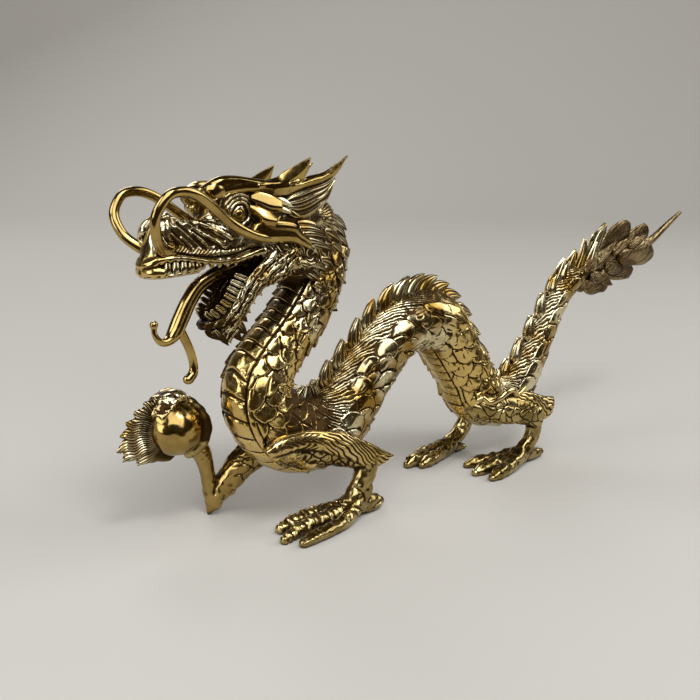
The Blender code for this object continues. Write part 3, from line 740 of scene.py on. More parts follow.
# %% The crest
NECK_SPINES = [(2.4, 2.6), (13.1, 3.8), (25, 4.6), (37, 3.6), (48, 3.0), (58, 3.0), (68, 3.0),
               (78, 3.4), (88, 4.0), (99, 4.6), (110, 5.2)]
BACK_SPINES = [(121, 6.0), (132, 6.6), (142.6, 6.6), (153.3, 6.6), (164.7, 6.8), (174.8, 6.8),
               (185.8, 7.0), (194.4, 7.0), (202, 7.0), (209.5, 6.9), (217, 5.6), (226.4, 5.0),
               (238, 5.0), (249.6, 4.8), (261, 4.6), (273, 4.6)]
TAIL_SPINES = [(286, 4.6), (298, 4.6), (310.5, 4.6), (323, 4.7), (336, 4.8), (349, 4.2),
               (362.6, 4.4), (374, 5.0)]
AHEAD = 0.5


def read_trunk(distance, columns):
    """The first columns of the trunk's row at this distance along the back."""
    return np.array([np.interp(distance, trunk_rows[:, BACK], trunk_rows[:, k])
                     for k in range(columns)])


def on_back(distance, height):
    """Point of the middle plane at this distance along the back and height above the spine."""
    here = read_trunk(distance, 4)
    way = unit(read_trunk(distance + AHEAD, 3) - here[:3])
    up = np.array([-way[2], 0, way[0]])
    return here[:3] + up * (here[RADIUS] + height)


def grooves(count, depth, width):
    """Relief with lengthwise grooves for a blade, shallower towards its tip."""
    lines = (np.arange(count) - (count - 1) / 2) * 1.5 / max(count, 1)

    def relief(u, w):
        return -depth * sum(furrow(w - line, width) for line in lines) * (1 - 0.5 * u)
    return relief


def leaf_veins(u, w):
    """Raised rim and three narrow cuts that run from root to point."""
    cuts = furrow(np.minimum(np.abs(w - 0.1), np.minimum(np.abs(w - 0.58), np.abs(w + 0.4))), 0.08)
    return 0.3 * furrow(np.abs(w) - 0.84, 0.1) - 0.5 * cuts * (1 - u ** 4)


def spine(name, distance, tall, length, round_tip, thick):
    """One leaf of the crest with its tip at this distance along the back."""
    outer = [on_back(distance - length, -1.4), on_back(distance - 0.84 * length, 0.42 * tall),
             on_back(distance - 0.6 * length, 0.76 * tall),
             on_back(distance - 0.3 * length, (0.95 + 0.06 * round_tip) * tall),
             on_back(distance, tall)]
    inner = [on_back(distance - 0.42 * length, -1.8), on_back(distance - 0.2 * length, -0.8),
             on_back(distance - 0.08 * length + round_tip, 0.25 * tall),
             on_back(distance + 0.2 + round_tip, 0.62 * tall),
             on_back(distance + 0.4 + 0.8 * round_tip, (0.97 - 0.1 * round_tip) * tall)]
    return blade(name, outer, inner, thick, leaf_veins, along=34, around=56, tip=0.45, face=ACROSS)


rows = [('neck spine', NECK_SPINES, 10.5, 0.0, 2.3), ('back spine', BACK_SPINES, 12.8, 0.0, 2.3),
        ('tail spine', TAIL_SPINES, 13.2, 0.9, 3.4)]
spines = []
for name, row, length, round_tip, thick in rows:
    for n, (distance, tall) in enumerate(row):
        spines.append(spine(f'{name} {n}', distance, tall, length, round_tip, thick))


def crest_painted_shade(points):
    """Painted shade on the leaves on top of the arch and on its falling side."""
    return 0.09 * ease(points[:, 0], 60, 76) * (1 - ease(points[:, 0], 124, 134))


finish(join('crest', spines), carved, stain_and_painted_shade=crest_painted_shade)

# %% [markdown]
# ## Leaves, balls and strokes of the graver
#
# A few more tools are needed for the head and the limbs. `leaf` is a blade around a middle line with
# half widths, and `lock` a leaf with grooves, for hair. `ball` is an ico sphere stretched into an
# egg. `carve` raises a ridge or cuts a groove along a stroke that is drawn in the side view, as a
# graver would, on both sides of the head at once. Last of all, `lean_over` tips what belongs to the
# head to its right, because this head isn't held quite straight.

# %% Leaves, balls and strokes of the graver
SIDES = (-1, 1)


def mirror(stations, side):
    """The same stations on the left (-1) or the right (1) side."""
    return [(s[0], s[1] * side, *s[2:]) for s in stations]


def leaf(name, stations, thick, relief=None, face=ACROSS, **grid):
    """Blade along stations of x, y, z and half width. face is square to its flat side."""
    rows = smooth_line(stations, count=12)
    way = unit(np.gradient(rows[:, :3], axis=0))
    aside = unit(np.cross(way, face)) * rows[:, 3:4]
    return blade(name, rows[:, :3] - aside, rows[:, :3] + aside, thick, relief, face=face, **grid)


def lock(name, root, tip, width, bow=0.0, thick=0.9, cuts=3, depth=0.3, face=ACROSS, **grid):
    """Lock of hair from root to tip, bowed aside by bow."""
    root, tip = np.array(root, float), np.array(tip, float)
    way = tip - root
    aside = unit(np.cross(unit(way), face))
    stations = []
    for share, part in ((0, 0.34), (0.3, 0.5), (0.65, 0.36), (1, 0.03)):
        place = root + way * share + aside * bow * 4 * share * (1 - share)
        stations.append((*place, width * part))
    grid = {'along': 22, 'around': 28, **grid}
    relief = grooves(cuts, depth, min(0.12, 0.36 / cuts))
    return leaf(name, stations, thick, relief, face=face, **grid)


def ball(name, centre, radii, detail=5):
    deselect_all()
    bpy.ops.mesh.primitive_ico_sphere_add(subdivisions=detail, radius=1)
    piece = bpy.context.object
    piece.name = name
    write_points(piece, read_points(piece) * radii + np.array(centre, float))
    return piece


def stroke_distance(flat, stroke):
    """Distance of each point of the side view to a stroke of x and z."""
    line = smooth_line([(x, 0, z) for x, z in stroke], 0.7)[:, [0, 2]]
    best = np.full(len(flat), 99.0)
    for a, b in zip(line, line[1:]):
        step = b - a
        share = np.clip((flat - a) @ step / (step @ step), 0, 1)[:, None]
        best = np.minimum(best, np.linalg.norm(flat - a - share * step, axis=1))
    return best


def carve(piece, strokes, texture):
    """Move points along their normals: ridges for positive heights, grooves for negative ones.

    A stroke is a height, a width and its places in the side view. texture adds its own heights.
    """
    points, normals = read_points(piece), read_points(piece, 'normal')
    facing = ease(np.abs(normals[:, 1]), 0.12, 0.5)
    height = np.zeros(len(points))
    for tall, width, stroke in strokes:
        places = np.array(stroke)
        low, high = places.min(axis=0) - 3 * width, places.max(axis=0) + 3 * width
        flat = points[:, [0, 2]]
        near = np.flatnonzero(((flat > low) & (flat < high)).all(axis=1))
        if len(near):
            height[near] += tall * furrow(stroke_distance(flat[near], stroke), width)
    height = height * facing + texture(points, normals)
    write_points(piece, points + normals * height[:, None])
    return piece


LEAN_OF_MOUTH, LEAN_OF_CROWN = 0.096, 0.2
MOUTH_Z, CROWN_Z = 116, 138


def lean_over(piece, crown=LEAN_OF_CROWN):
    """Lean the head to its right, the crown more than the mouth."""
    points = read_points(piece)
    share = np.clip((points[:, 2] - MOUTH_Z) / (CROWN_Z - MOUTH_Z), 0, 1)
    points[:, 2] -= (LEAN_OF_MOUTH + (crown - LEAN_OF_MOUTH) * share) * points[:, 1]
    write_points(piece, points)
    return piece


print("the crown leans by", round(math.degrees(math.atan(LEAN_OF_CROWN)), 1), "degrees")

# %% [markdown]
# ## The upper head
#
# The skull is a skin over sixteen sections: narrow like a roof along the snout, full at the brow and
# round at the nape. Each section is a line of its place, its top, its underside, its half width, and
# how far it narrows to a roof. Nose wings, lips, lids and cheeks are rods and balls laid on it. The
# remesh modifier melts all of them into one skin of even small faces, which can be carved like wax.

# %% The upper head
SKULL = [
    (-51.2, 115.0, 111.5, 1.6, 0.1), (-50.2, 117.5, 109.8, 3.4, 0.1),
    (-48.6, 122.5, 108.8, 6.4, 0.3), (-45.5, 128.0, 108.8, 8.0, 0.6),
    (-41.0, 130.2, 109.2, 8.8, 0.75), (-35.5, 128.9, 109.8, 9.2, 0.75),
    (-30.0, 127.4, 110.4, 9.6, 0.7), (-25.5, 128.2, 110.8, 10.2, 0.6),
    (-22.0, 133.6, 110.6, 10.8, 0.35), (-16.0, 138.0, 110.0, 11.4, 0.12),
    (-7.0, 138.2, 108.4, 12.4, 0.05), (2.0, 137.4, 105.5, 13.2, 0.05),
    (13.0, 135.0, 103.0, 13.4, 0.05), (23.0, 131.0, 102.5, 12.4, 0.1),
    (30.5, 126.0, 105.0, 9.8, 0.1), (35.0, 120.0, 110.0, 6.0, 0.1),
]
HEAD_VOXEL = 0.37


def skull_skin():
    x, top, under, half, narrow = smooth_line(SKULL, 0.7)[:, :5].T[:, :, None]
    turn = ring_turns(110)
    rise = np.sign(np.cos(turn)) * np.abs(np.cos(turn)) ** 0.8
    bulge = np.sign(np.sin(turn)) * np.abs(np.sin(turn)) ** (0.6 + 0.4 * narrow)
    width = half * bulge * (1 - narrow * (1 + rise) / 2)
    z = (top + under) / 2 + (top - under) / 2 * rise
    return roll('skull', np.stack([x + 0 * z, width, z], axis=-1))


forms = [skull_skin(), ball('throat', (15, 0, 103.5), (9.6, 9.2, 6.8)),
         rod('front lip', [(-46.2, -6.8, 110.4, 1.9), (-48.6, -4.2, 110.8, 2.6), (-49.4, 0, 110.9, 2.8),
                           (-48.6, 4.2, 110.8, 2.6), (-46.2, 6.8, 110.4, 1.9)])]
for side in SIDES:
    forms.append(rod('nose wing', mirror([(-42, 3.0, 129.4, 1.8), (-45.0, 5.6, 126.5, 2.8),
                                          (-45.4, 6.6, 122, 3.0), (-43.4, 7.6, 118.6, 2.2)], side)))
    forms.append(rod('lip', mirror([(-50.4, 0.6, 112.8, 2.0), (-49.4, 3.8, 113.2, 2.0),
                                    (-46.6, 7.2, 115.0, 1.4), (-42, 9.3, 115.1, 1.0),
                                    (-35.8, 10.1, 114.0, 1.0), (-27.5, 10.8, 112.1, 1.0),
                                    (-18.8, 11.5, 111.9, 1.1), (-11.2, 12.5, 113.7, 1.2),
                                    (-7.6, 13.0, 114.2, 1.4)], side)))
    forms.append(rod('lid', mirror([(-20.8, 9.6, 127.8, 0.8), (-19.6, 10.4, 130.2, 0.9),
                                    (-16.3, 10.9, 131.9, 1.0), (-13.0, 11.1, 130.2, 0.9),
                                    (-12.4, 11.2, 127.2, 0.8), (-15.2, 11.0, 124.9, 0.8)], side)))
    forms.append(ball('forehead', (-23.6, side * 7.4, 132.8), (4.8, 3.4, 4.2), 4))
    forms.append(ball('orbit', (-16.4, side * 8.8, 130.8), (8.0, 3.6, 5.8), 4))
    forms.append(ball('dome', (18.5, side * 6.5, 122.5), (10.6, 6.6, 8.6)))
    forms.append(ball('cheek', (4, side * 9.6, 113.5), (11, 3.6, 6.4)))
    forms.append(ball('cheek below', (13, side * 9.4, 106), (8.6, 3.6, 5.2)))
head = fuse('head', forms, HEAD_VOXEL, relax=4)
print("the melted head has", triangles(head), "triangles")

# %% [markdown]
# The snout is wrinkled by slanting ridges, the upper lip carries a row of small slanting beads, and
# the lids lie around the eye like ripples. All of them are strokes with a height, a width and a few
# places in the side view.

# %% Carving the upper head
EYE_X, EYE_Z = -16.6, 128.1


def arc_stroke(radius, start, end):
    """Places on an arc around the eye, angles in degrees from the tail side upwards."""
    turns = [math.radians(angle) for angle in np.linspace(start, end, 9)]
    return [(EYE_X + radius * math.cos(turn), EYE_Z + radius * math.sin(turn)) for turn in turns]


RIDGE, FINE = (0.8, 0.5), (0.4, 0.34)
strokes = [
    (*RIDGE, [(-41.6, 124), (-38.4, 120), (-36.9, 118.9)]),
    (*RIDGE, [(-38.4, 125.6), (-34.2, 121.1), (-30.7, 116.9)]),
    (*RIDGE, [(-32.6, 122.9), (-29.8, 120.2), (-27.8, 117.3)]),
    (*RIDGE, [(-34, 126.3), (-29.9, 123.3), (-26.3, 120.5), (-21.6, 116.9)]),
    (*RIDGE, [(-30.1, 126.6), (-24.6, 123.9), (-19.4, 119.8)]),
    (*FINE, [(-27.9, 121.5), (-22.4, 118.7)]), (*FINE, [(-25.5, 125.6), (-20.4, 122.4)]),
    (*FINE, [(-37.3, 121.6), (-34.4, 118.2)]), (*FINE, [(-40.4, 127.2), (-37.2, 123.4)]),
    (-0.9, 0.6, [(-40.6, 124.9), (-36.2, 119.4), (-34.2, 116.9)]),
    (-0.9, 0.6, [(-37.0, 126.9), (-31.4, 120.6), (-28.6, 117.2)]),
    (-0.8, 0.5, [(-31.9, 124.0), (-26.2, 118.2)]), (-0.8, 0.5, [(-28.4, 124.5), (-22.4, 119.6)]),
    (-0.8, 0.5, [(-45.8, 130.4), (-42.8, 129.3), (-40.9, 126.9), (-41.6, 124), (-40.9, 121.1),
                 (-39.5, 118.8)]),
    (-0.5, 0.4, [(-47.2, 124.2), (-45.4, 120.8), (-43.4, 119.6)]),
    (-0.8, 0.4, [(-44, 117.0), (-39, 116.2), (-33.2, 114.9), (-27, 113.7), (-18.8, 113.5),
                 (-12, 115.2)]),
    (-0.9, 0.5, [(-44.6, 113.0), (-40, 113.2), (-35.8, 112.3), (-28, 110.5), (-20, 110.2),
                 (-12, 111.8)]),
    (0.4, 0.36, arc_stroke(4.0, -15, 165)), (0.34, 0.34, arc_stroke(5.3, 5, 160)),
    (0.34, 0.32, arc_stroke(6.6, 15, 150)), (0.34, 0.32, arc_stroke(7.9, 35, 128)),
    (-0.9, 0.45, arc_stroke(3.1, 0, 360)), (-0.45, 0.28, arc_stroke(4.7, 10, 160)),
    (-0.4, 0.28, arc_stroke(6.0, 20, 145)), (-0.4, 0.28, arc_stroke(7.3, 30, 135)),
    (0.5, 0.45, arc_stroke(4.2, 200, 320)), (0.4, 0.4, [(-11.6, 131), (-10.8, 128.8), (-8.4, 126.1)]),
    (0.5, 0.5, [(-13.7, 125.2), (-11.4, 126.4), (-8.2, 123.2), (-9.6, 122)]),
    (0.4, 0.4, [(-18.8, 123.6), (-14.6, 122.0), (-11.2, 120.4)]),
    (-0.5, 0.4, [(-20.4, 124.6), (-15.6, 122.8), (-11.6, 121.2)]),
    (0.5, 0.6, [(-26.6, 131.8), (-23.6, 129.8), (-22.6, 127.2)]),
]
beads = smooth_line([(-41.4, 0, 116.7), (-33.2, 0, 115.2), (-25, 0, 114.0), (-15.7, 0, 114.5)],
                    count=19)
for n, (x, _, z) in enumerate(beads[:, :3]):
    top = z + 2.1 - 0.04 * n
    strokes.append((0.75, 0.36, [(x - 0.7, z + 0.1), (x + 0.2, z + 0.9), (x + 1.3, top)]))
print(len(strokes), "strokes on each side of the snout and around the eyes")

# %% The texture of the upper head
DOME_X, DOME_Z = 15, 124
NOSTRIL = (-48.2, 4.6, 122.5)


def cells(flat, pitch, seed):
    """Distance to the nearest and the second nearest knot of an uneven lattice, in pitches."""
    rng = np.random.default_rng(seed)
    low = flat.min(axis=0) / pitch - 2
    size = np.ceil(np.ptp(flat, axis=0) / pitch).astype(int) + 5
    jitter = rng.uniform(-0.3, 0.3, (*size, 2))
    place = flat / pitch - low
    near = np.full(len(flat), 9.0)
    second = near.copy()
    base = np.floor(place).astype(int)
    for i in (-1, 0, 1):
        for j in (-1, 0, 1):
            key = np.clip(base + (i, j), 0, size - 1)
            knot = key + 0.5 + jitter[key[:, 0], key[:, 1]]
            knot[:, 0] += 0.5 * (key[:, 1] % 2) - 0.25
            away = np.linalg.norm(place - knot, axis=1)
            second = np.minimum(second, np.maximum(near, away))
            near = np.minimum(near, away)
    return near, second


def head_texture(points, normals):
    """Striated dome, combed cheeks and crown, pitted skin and the ridged roof of the mouth."""
    x, y, z = points.T
    facing = ease(np.abs(normals[:, 1]), 0.1, 0.4)
    around = np.arctan2(z - DOME_Z, x - DOME_X)
    radius = np.hypot(z - DOME_Z, x - DOME_X)
    dome = ease(x, 14, 17) * ease(radius, 3.5, 6) * ease(z, 113.5, 116)
    height = 0.28 * np.cos(46 * around + 0.8 * ripple(points, 7, 21)) * dome
    cheek = ease(z, 100, 103) * (1 - ease(z, 115, 117)) * ease(x, -8, -4) * facing
    comb = (0.75 * x + 0.66 * z) / 1.8 + 0.9 * ripple(points, 8, 22)
    height = height + 0.2 * np.cos(2 * np.pi * comb) * cheek
    crown = ease(normals[:, 2], 0.3, 0.6) * ease(x, -14, -8) * (1 - dome)
    height = height + 0.25 * np.cos(2 * np.pi * (y / 1.7 + 0.3 * ripple(points, 10, 23))) * crown
    roof = ease(-normals[:, 2], 0.5, 0.8) * (1 - ease(x, -12, -6))
    height = height + 0.35 * np.cos(2 * np.pi * x / 2.6) * roof
    near, second = cells(points[:, [0, 2]], 1.5, 24)
    skin = facing * ease(z, 117, 119) * (1 - ease(x, 2, 6)) * ease(x, -36, -30)
    pits = 1 - 0.75 * ease(np.hypot(x - EYE_X, z - EYE_Z), 3, 9)
    height = height - 0.14 * furrow(second - near, 0.14) * skin * (1 - pits * 0.7)
    nostril = np.linalg.norm(np.column_stack([x, np.abs(y), z]) - NOSTRIL, axis=1)
    return height - 1.6 * furrow(nostril, 1.3) + 0.08 * ripple(points, 3.5, 25)


carve(head, strokes, head_texture)
print("the carved head has", triangles(head), "triangles before half of them go")

# %% Painted shade and warm lips of the upper head
def mouth_painted_shade(points):
    """Painted shade in the palate, in the corner of the mouth, under the cheek and on the front of the
    lip.
    """
    x, y, z = points.T
    inside = ease(7.6 - np.abs(y), 0, 1) * ease(114 - z, 0, 2) * ease(8 - x, 0, 2) * ease(x, -45, -42)
    corner = ease(5 - np.hypot(x + 4, z - 108), 0, 3)
    cheek = (0.5 + 0.5 * ease(109 - z, 0, 4)) * ease(x, -5, 2) * ease(118 - z, 0, 3)
    cheek = np.maximum(cheek, 0.25 * ease(-44 - x, 0, 3) * ease(116 - z, 0, 3))
    return 0.3 * np.maximum(np.maximum(inside, corner), cheek)


def lip_warmth(points):
    """The front of the lips is a brown gold."""
    x, _, z = points.T
    return 0.9 * ease(-41 - x, 0, 4) * ease(119 - z, 0, 3)


finish(lean_over(head), carved, lip_warmth, mouth_painted_shade)

# %% [markdown]
# ## Eyes, brows, antlers and whiskers
#
# These are the smooth parts of the head, which the buffing wheel reached best. Each brow is a round
# bar that ends in an antler with two points, and two lobes hang from it behind the eye. The whiskers
# are as even as bent wire: they rise from the nostrils, loop forwards and back over the snout, and
# end as a broad leaf on the cheek. Eyes and whiskers keep all their triangles, because a thinned
# mesh shows first in a clear reflection.

# %% Eyes
EYE_Y, EYE_RADIUS = 9.7, 3.2
PUPIL_ANGLE = 30


def eye(side):
    """Eyeball with one ring cut around the pupil."""
    piece = ball('eye', (0, 0, 0), (1, 1, 1))
    points = read_points(piece)
    look = unit(np.array([-0.35, side, 0.02]))
    away = np.degrees(np.arccos(np.clip(points @ look, -1, 1)))
    size = EYE_RADIUS * (1 - 0.09 * furrow(away - PUPIL_ANGLE, 5))
    write_points(piece, points * size[:, None] + (EYE_X, side * EYE_Y, EYE_Z))
    return piece


finish(lean_over(join('eyes', [eye(side) for side in SIDES])), polished, share=1)

# %% Brows and antlers
bars = []
for side in SIDES:
    bars.append(blade('brow', mirror([(-29.4, 4.0, 135.8), (-28.4, 4.6, 138.0), (-26.4, 5.2, 139.6),
                                      (-22.6, 5.8, 141.0), (-17.0, 6.6, 140.6), (-10.0, 8.4, 139.4),
                                      (-3.0, 10.4, 138.8), (4.0, 11.6, 138.6)], side),
                      mirror([(-29.4, 4.8, 135.2), (-28.6, 7.4, 134.8), (-26.2, 9.0, 135.8),
                              (-22.6, 10.4, 137.2), (-17.0, 11.2, 137.2), (-10.0, 12.2, 135.4),
                              (-3.0, 12.8, 133.4), (4.0, 12.8, 133.4)], side),
                      2.8, along=60, around=56, tip=0.8, section=3.0))
    bars.append(blade('front point', mirror([(-9, 11.0, 138.9), (-1.7, 11.7, 139.5), (1.8, 12, 141.1),
                                             (7.0, 12.2, 143.4), (14.6, 12.3, 146.1)], side),
                      mirror([(-9, 12.0, 134.4), (0, 12.8, 133.6), (7.0, 12.9, 134.9),
                              (12.6, 12.7, 139.2), (15.0, 12.3, 145.4)], side),
                      2.2, along=48, around=48, section=1.3, tip=0.2))
    bars.append(blade('rear point', mirror([(-3, 11.7, 137.2), (8.0, 11.9, 138.0), (14.2, 11.8, 139.2),
                                            (19.8, 11.8, 139.9), (24.5, 11.8, 141.7),
                                            (32.9, 11.4, 145.9)], side),
                      mirror([(-3, 12.6, 132.6), (6, 12.8, 133.0), (13.0, 12.6, 134.0),
                              (20.7, 12.4, 135.5), (27.0, 12, 138.4), (33.2, 11.4, 145.2)], side),
                      2.1, along=56, around=48, section=1.3, tip=0.2))
    bars.append(blade('upper lobe', mirror([(-11.4, 10.6, 133.8), (-8.2, 11.7, 135.0),
                                            (-4.8, 13.8, 133.8), (-1.8, 16.2, 131.0)], side),
                      mirror([(-11.4, 11.4, 131.6), (-9.4, 13.6, 129.8), (-6.4, 16.3, 127.9),
                              (-2.6, 18.4, 127.2)], side), 2.0, tip=1.0, section=6))
    bars.append(blade('lower lobe', mirror([(-12.2, 10.8, 130.4), (-9.4, 12.0, 129.6),
                                            (-5.8, 14.2, 127.7), (-2.4, 16.4, 124.8)], side),
                      mirror([(-12.8, 11.6, 128.6), (-10.8, 13.6, 126.2), (-9.2, 15.9, 123.8),
                              (-5.6, 17.8, 122.6)], side), 2.0, tip=1.2, section=6))
    bars.append(ball('brow front', (-24.6, side * 6.9, 136.4), (5.6, 4.2, 4.3), 4))
    bars.append(rod('brow back', mirror([(-26, 6.8, 136.4, 3.0), (-14, 9.8, 137.2, 2.6),
                                         (-2, 12.0, 136.2, 2.2), (8, 12.4, 137.0, 1.6)], side)))
finish(lean_over(fuse('brows_and_antlers', bars, 0.28, 2)), polished)

# %% Whiskers
WHISKER = 1.9


def rimmed(u, w):
    """A raised rim and a shallow hollow along the middle."""
    return 0.3 * furrow(np.abs(w) - 0.84, 0.1) - 0.25 * furrow(w, 0.3)


wires = []
for side in SIDES:
    wires.append(rod('whisker', mirror([
        (-42.8, 6.4, 116.8, 1.3 * WHISKER), (-47.0, 8.4, 118.8, 1.1 * WHISKER),
        (-51.4, 12.8, 124.0, WHISKER), (-52.8, 16.0, 131.3, WHISKER), (-48.8, 17.5, 137.6, WHISKER),
        (-43.6, 17.5, 138.8, WHISKER), (-38.4, 17.3, 137.6, WHISKER), (-32.8, 16.4, 134.2, WHISKER),
        (-24.6, 15.0, 127.5, WHISKER), (-17.0, 14.6, 122.6, WHISKER), (-10.0, 14.2, 119.6, WHISKER),
        (-4, 14.0, 118.4, 0.9 * WHISKER)], side), around=40, step=0.6))
    wires.append(blade('whisker leaf', mirror([(-13.4, 13.6, 122.0), (-11.2, 13.6, 124.9),
                                               (-5.3, 14.2, 125.5), (4.7, 14.4, 123.8),
                                               (7.6, 14.2, 120.4), (13.8, 13.2, 116.2)], side),
                       mirror([(-13.4, 13.8, 119.2), (-11.0, 14.0, 118.4), (-5.3, 14.6, 117.1),
                               (4.0, 14.8, 116.1), (8.0, 14.5, 114.6), (13.4, 13.2, 112.2)], side),
                       1.7, rimmed, along=56, around=48, section=4, tip=0.5))
finish(lean_over(join('whiskers', wires), LEAN_OF_MOUTH), polished, share=1)

# %% [markdown]
# ## Teeth, lower jaw and tongue
#
# The upper teeth are small blocks set around the front of the mouth over a thin rim, with pointed
# ones behind. The lower jaw hangs open: four ribs of hair run along each side of it, from the cheek
# to the chin, and eight square teeth stand on each side. A block could be a cube, but a rod whose
# four sides are pressed flat comes with round corners and a round end, as a filed tooth has them.
# The tongue is a thick strap that forks into two curls.

# %% Upper teeth
GUM_DROP = 0.06


def squared(run, turn, radius):
    """Four flat sides instead of a round one."""
    return -0.08 * radius * np.cos(4 * turn)


gum = smooth_line([(-33.5, -8.9, 0), (-37, -8.8, 0), (-41, -8.4, 0), (-45, -7.2, 0),
                   (-48.0, -4.8, 0), (-49.2, 0, 0), (-48.0, 4.8, 0), (-45, 7.2, 0), (-41, 8.4, 0),
                   (-37, 8.8, 0), (-33.5, 8.9, 0)], 3.05)
teeth = []
rim = []
for x, y, *_ in gum:
    rim.append((x, y * 1.05, 108.7 + GUM_DROP * (x + 49), 0.8))
    drop = 108.6 + GUM_DROP * (x + 49)
    if x > -46:
        teeth.append(rod('tooth', [(x + 0.4, y * 0.96, 113.2, 1.4), (x, y * 1.04, 111, 1.42),
                                   (x, y * 1.04, drop + 0.6, 1.15)], around=32, step=0.35,
                         relief=squared))
teeth.append(rod('rim under the teeth', rim, around=24, step=0.4))
for side in SIDES:
    for n in range(5):
        x = -31 + 3.4 * n
        y = side * (9.0 + 0.2 * n)
        teeth.append(rod('back tooth', [(x, y, 112.2, 1.25), (x - 0.3, y, 110.6, 0.95),
                                        (x - 0.5, y, 109.9, 0.35)], around=16, step=0.4))
finish(lean_over(join('upper_teeth', teeth)), carved)

# %% Lower teeth
LOWER_TEETH = 8


def hollow_block(run, turn, radius):
    """A square tooth, hollow on its outer face, so that its rims shine."""
    return squared(run, turn, radius) - 0.75 * furrow(np.sin(turn), 0.42) * ease(run, 1.2, 2.2)


def lower_teeth(side):
    """Square teeth with sharp rims that stand on the gum of one side."""
    tips = smooth_line([(-17.2, 8.6, 107.3), (-18.8, 8.5, 105.5), (-20.5, 8.2, 102.7),
                        (-22.1, 7.8, 99.0), (-23.6, 7.2, 96.3), (-25.9, 6.2, 94.0),
                        (-27.2, 4.4, 92.9), (-27.8, 1.6, 92.6)], count=LOWER_TEETH)[:, :3]
    roots = smooth_line([(-12.6, 9.2, 104.8), (-14.2, 9.1, 102.4), (-15.9, 8.8, 99.6),
                         (-17.4, 8.3, 97.2), (-19.6, 7.6, 94.2), (-22.4, 6.4, 91.6),
                         (-24.4, 4.4, 90.2), (-25.2, 1.6, 89.8)], count=LOWER_TEETH)[:, :3]
    row = []
    for n in range(LOWER_TEETH):
        a, b = roots[n] * 0.6 + roots[n + 1] * 0.4, tips[n] * 0.55 + tips[n + 1] * 0.45
        b = a + 0.78 * (b - a)
        places = [(*a, 1.2), (*(a * 0.5 + b * 0.5), 1.2), (*b, 1.05)]
        row.append(rod('lower tooth', mirror(places, side), around=36, step=0.3, flat=0.8,
                       relief=hollow_block))
    return row


print(LOWER_TEETH, "square teeth will stand on each side of the jaw")

# %% Ribs and locks of the lower jaw
CORDS = 6
JAW_RIBS = [
    (0.16, 0.5, [(-2, 11.7, 112.6, 1.5), (-6.4, 11.4, 108.9, 1.5), (-9.6, 11, 106.4, 1.5),
                 (-13.1, 10.5, 102.8, 1.4), (-15.4, 9.8, 98.9, 1.4), (-17.9, 9, 94.5, 1.4),
                 (-20.4, 7.9, 90.6, 1.4), (-23.2, 5.8, 88.3, 1.4), (-26.4, 2.6, 87.6, 1.4),
                 (-27.2, 0, 87.5, 1.4)]),
    (0.2, -0.4, [(8, 11.8, 113.0, 1.8), (1, 12.2, 109.5, 2.0), (-5, 11.6, 105.2, 1.7),
                 (-9.6, 10.8, 101.4, 1.5), (-13.0, 9.8, 97, 1.3), (-15.9, 8.8, 92.6, 1.2),
                 (-19, 7, 88.4, 1.1), (-22, 4.4, 86.2, 1.0)]),
    (0.12, 0.5, [(9, 11.2, 108.8, 1.8), (2, 11.4, 105.6, 1.8), (-4.8, 10.8, 102.8, 1.4),
                 (-8.8, 9.8, 99.4, 1.3), (-11.8, 8.8, 95.4, 1.3), (-14.0, 7.8, 91.4, 1.1),
                 (-16.8, 6.0, 87.2, 1.1), (-19, 4, 84.6, 1.0)]),
    (0.12, -0.5, [(9, 8.4, 105.4, 2.0), (2, 8.6, 103.0, 1.9), (-5.4, 8.2, 100.4, 1.3),
                  (-8.8, 7.6, 97.4, 1.3), (-11.2, 6.8, 93.8, 1.3), (-12.8, 5.8, 90.0, 1.2),
                  (-14.2, 4.2, 86.0, 1.2), (-15.8, 2.6, 82.4, 1.1)]),
]
JAW_LOCKS = [(-5.6, 8.6, 97.2), (-8.3, 7.8, 94.2), (-9.8, 6.8, 90.8), (-10.6, 5.6, 87.4),
             (-11.8, 4.2, 83.8)]


def ribbed(ribs, depth, twist):
    """Relief of fine cords that wind slowly around a rod."""
    def relief(run, turn, radius):
        return depth * np.cos(ribs * turn + twist * run) - 0.1 * furrow(np.mod(run, 2.3) - 1.1, 0.3)
    return relief


forms, ranks = [], []
for side in SIDES:
    for depth, twist, stations in JAW_RIBS:
        forms.append(rod('rib', mirror(stations, side), around=32, step=0.5,
                         relief=ribbed(CORDS, depth, twist)))
    for x, y, z in JAW_LOCKS:
        ranks.append(lock('jaw lock', (x - 3.6, side * y, z + 3.4), (x, side * y * 0.96, z - 0.6),
                          3.2, thick=1.0))
    ranks += lower_teeth(side)
floor = smooth_line([(4, 0, 108.6, 10.2), (-6.3, 0, 99.2, 9.2), (-14.8, 0, 92.2, 7.6),
                     (-22.0, 0, 87.2, 5.0), (-25.4, 0, 86.4, 3.0)], 0.8)
forms.append(rod('jaw floor', floor[:, :4], around=60, flat=0.24, pressed=(-0.62, 0, 0.78)))
forms.append(rod('beard root', [(-23, 0, 87, 2.6), (-19, 0, 83.6, 2.8), (-15.8, 0, 80.8, 1.8)]))
jaw = fuse('lower_jaw', forms, 0.36, relax=1)
print("the melted jaw has", triangles(jaw), "triangles")

# %% Carving the lower jaw
def jaw_texture(points, normals):
    """Short slanting cuts that run with the jaw."""
    along = -0.55 * points[:, 0] - 0.83 * points[:, 2]
    across = 0.83 * points[:, 0] - 0.55 * points[:, 2]
    near, second = cells(np.stack([across + 0.2 * along, along / 3.4], axis=1), 1.3, 26)
    facing = ease(np.abs(normals[:, 1]), 0.2, 0.5)
    ridges = 0.3 * np.cos(2 * np.pi * (across / 2.3 + 0.4 * ripple(points, 9, 27)))
    return (0.12 * (1 - near ** 2) - 0.3 * furrow(second - near, 0.13) + ridges) * facing


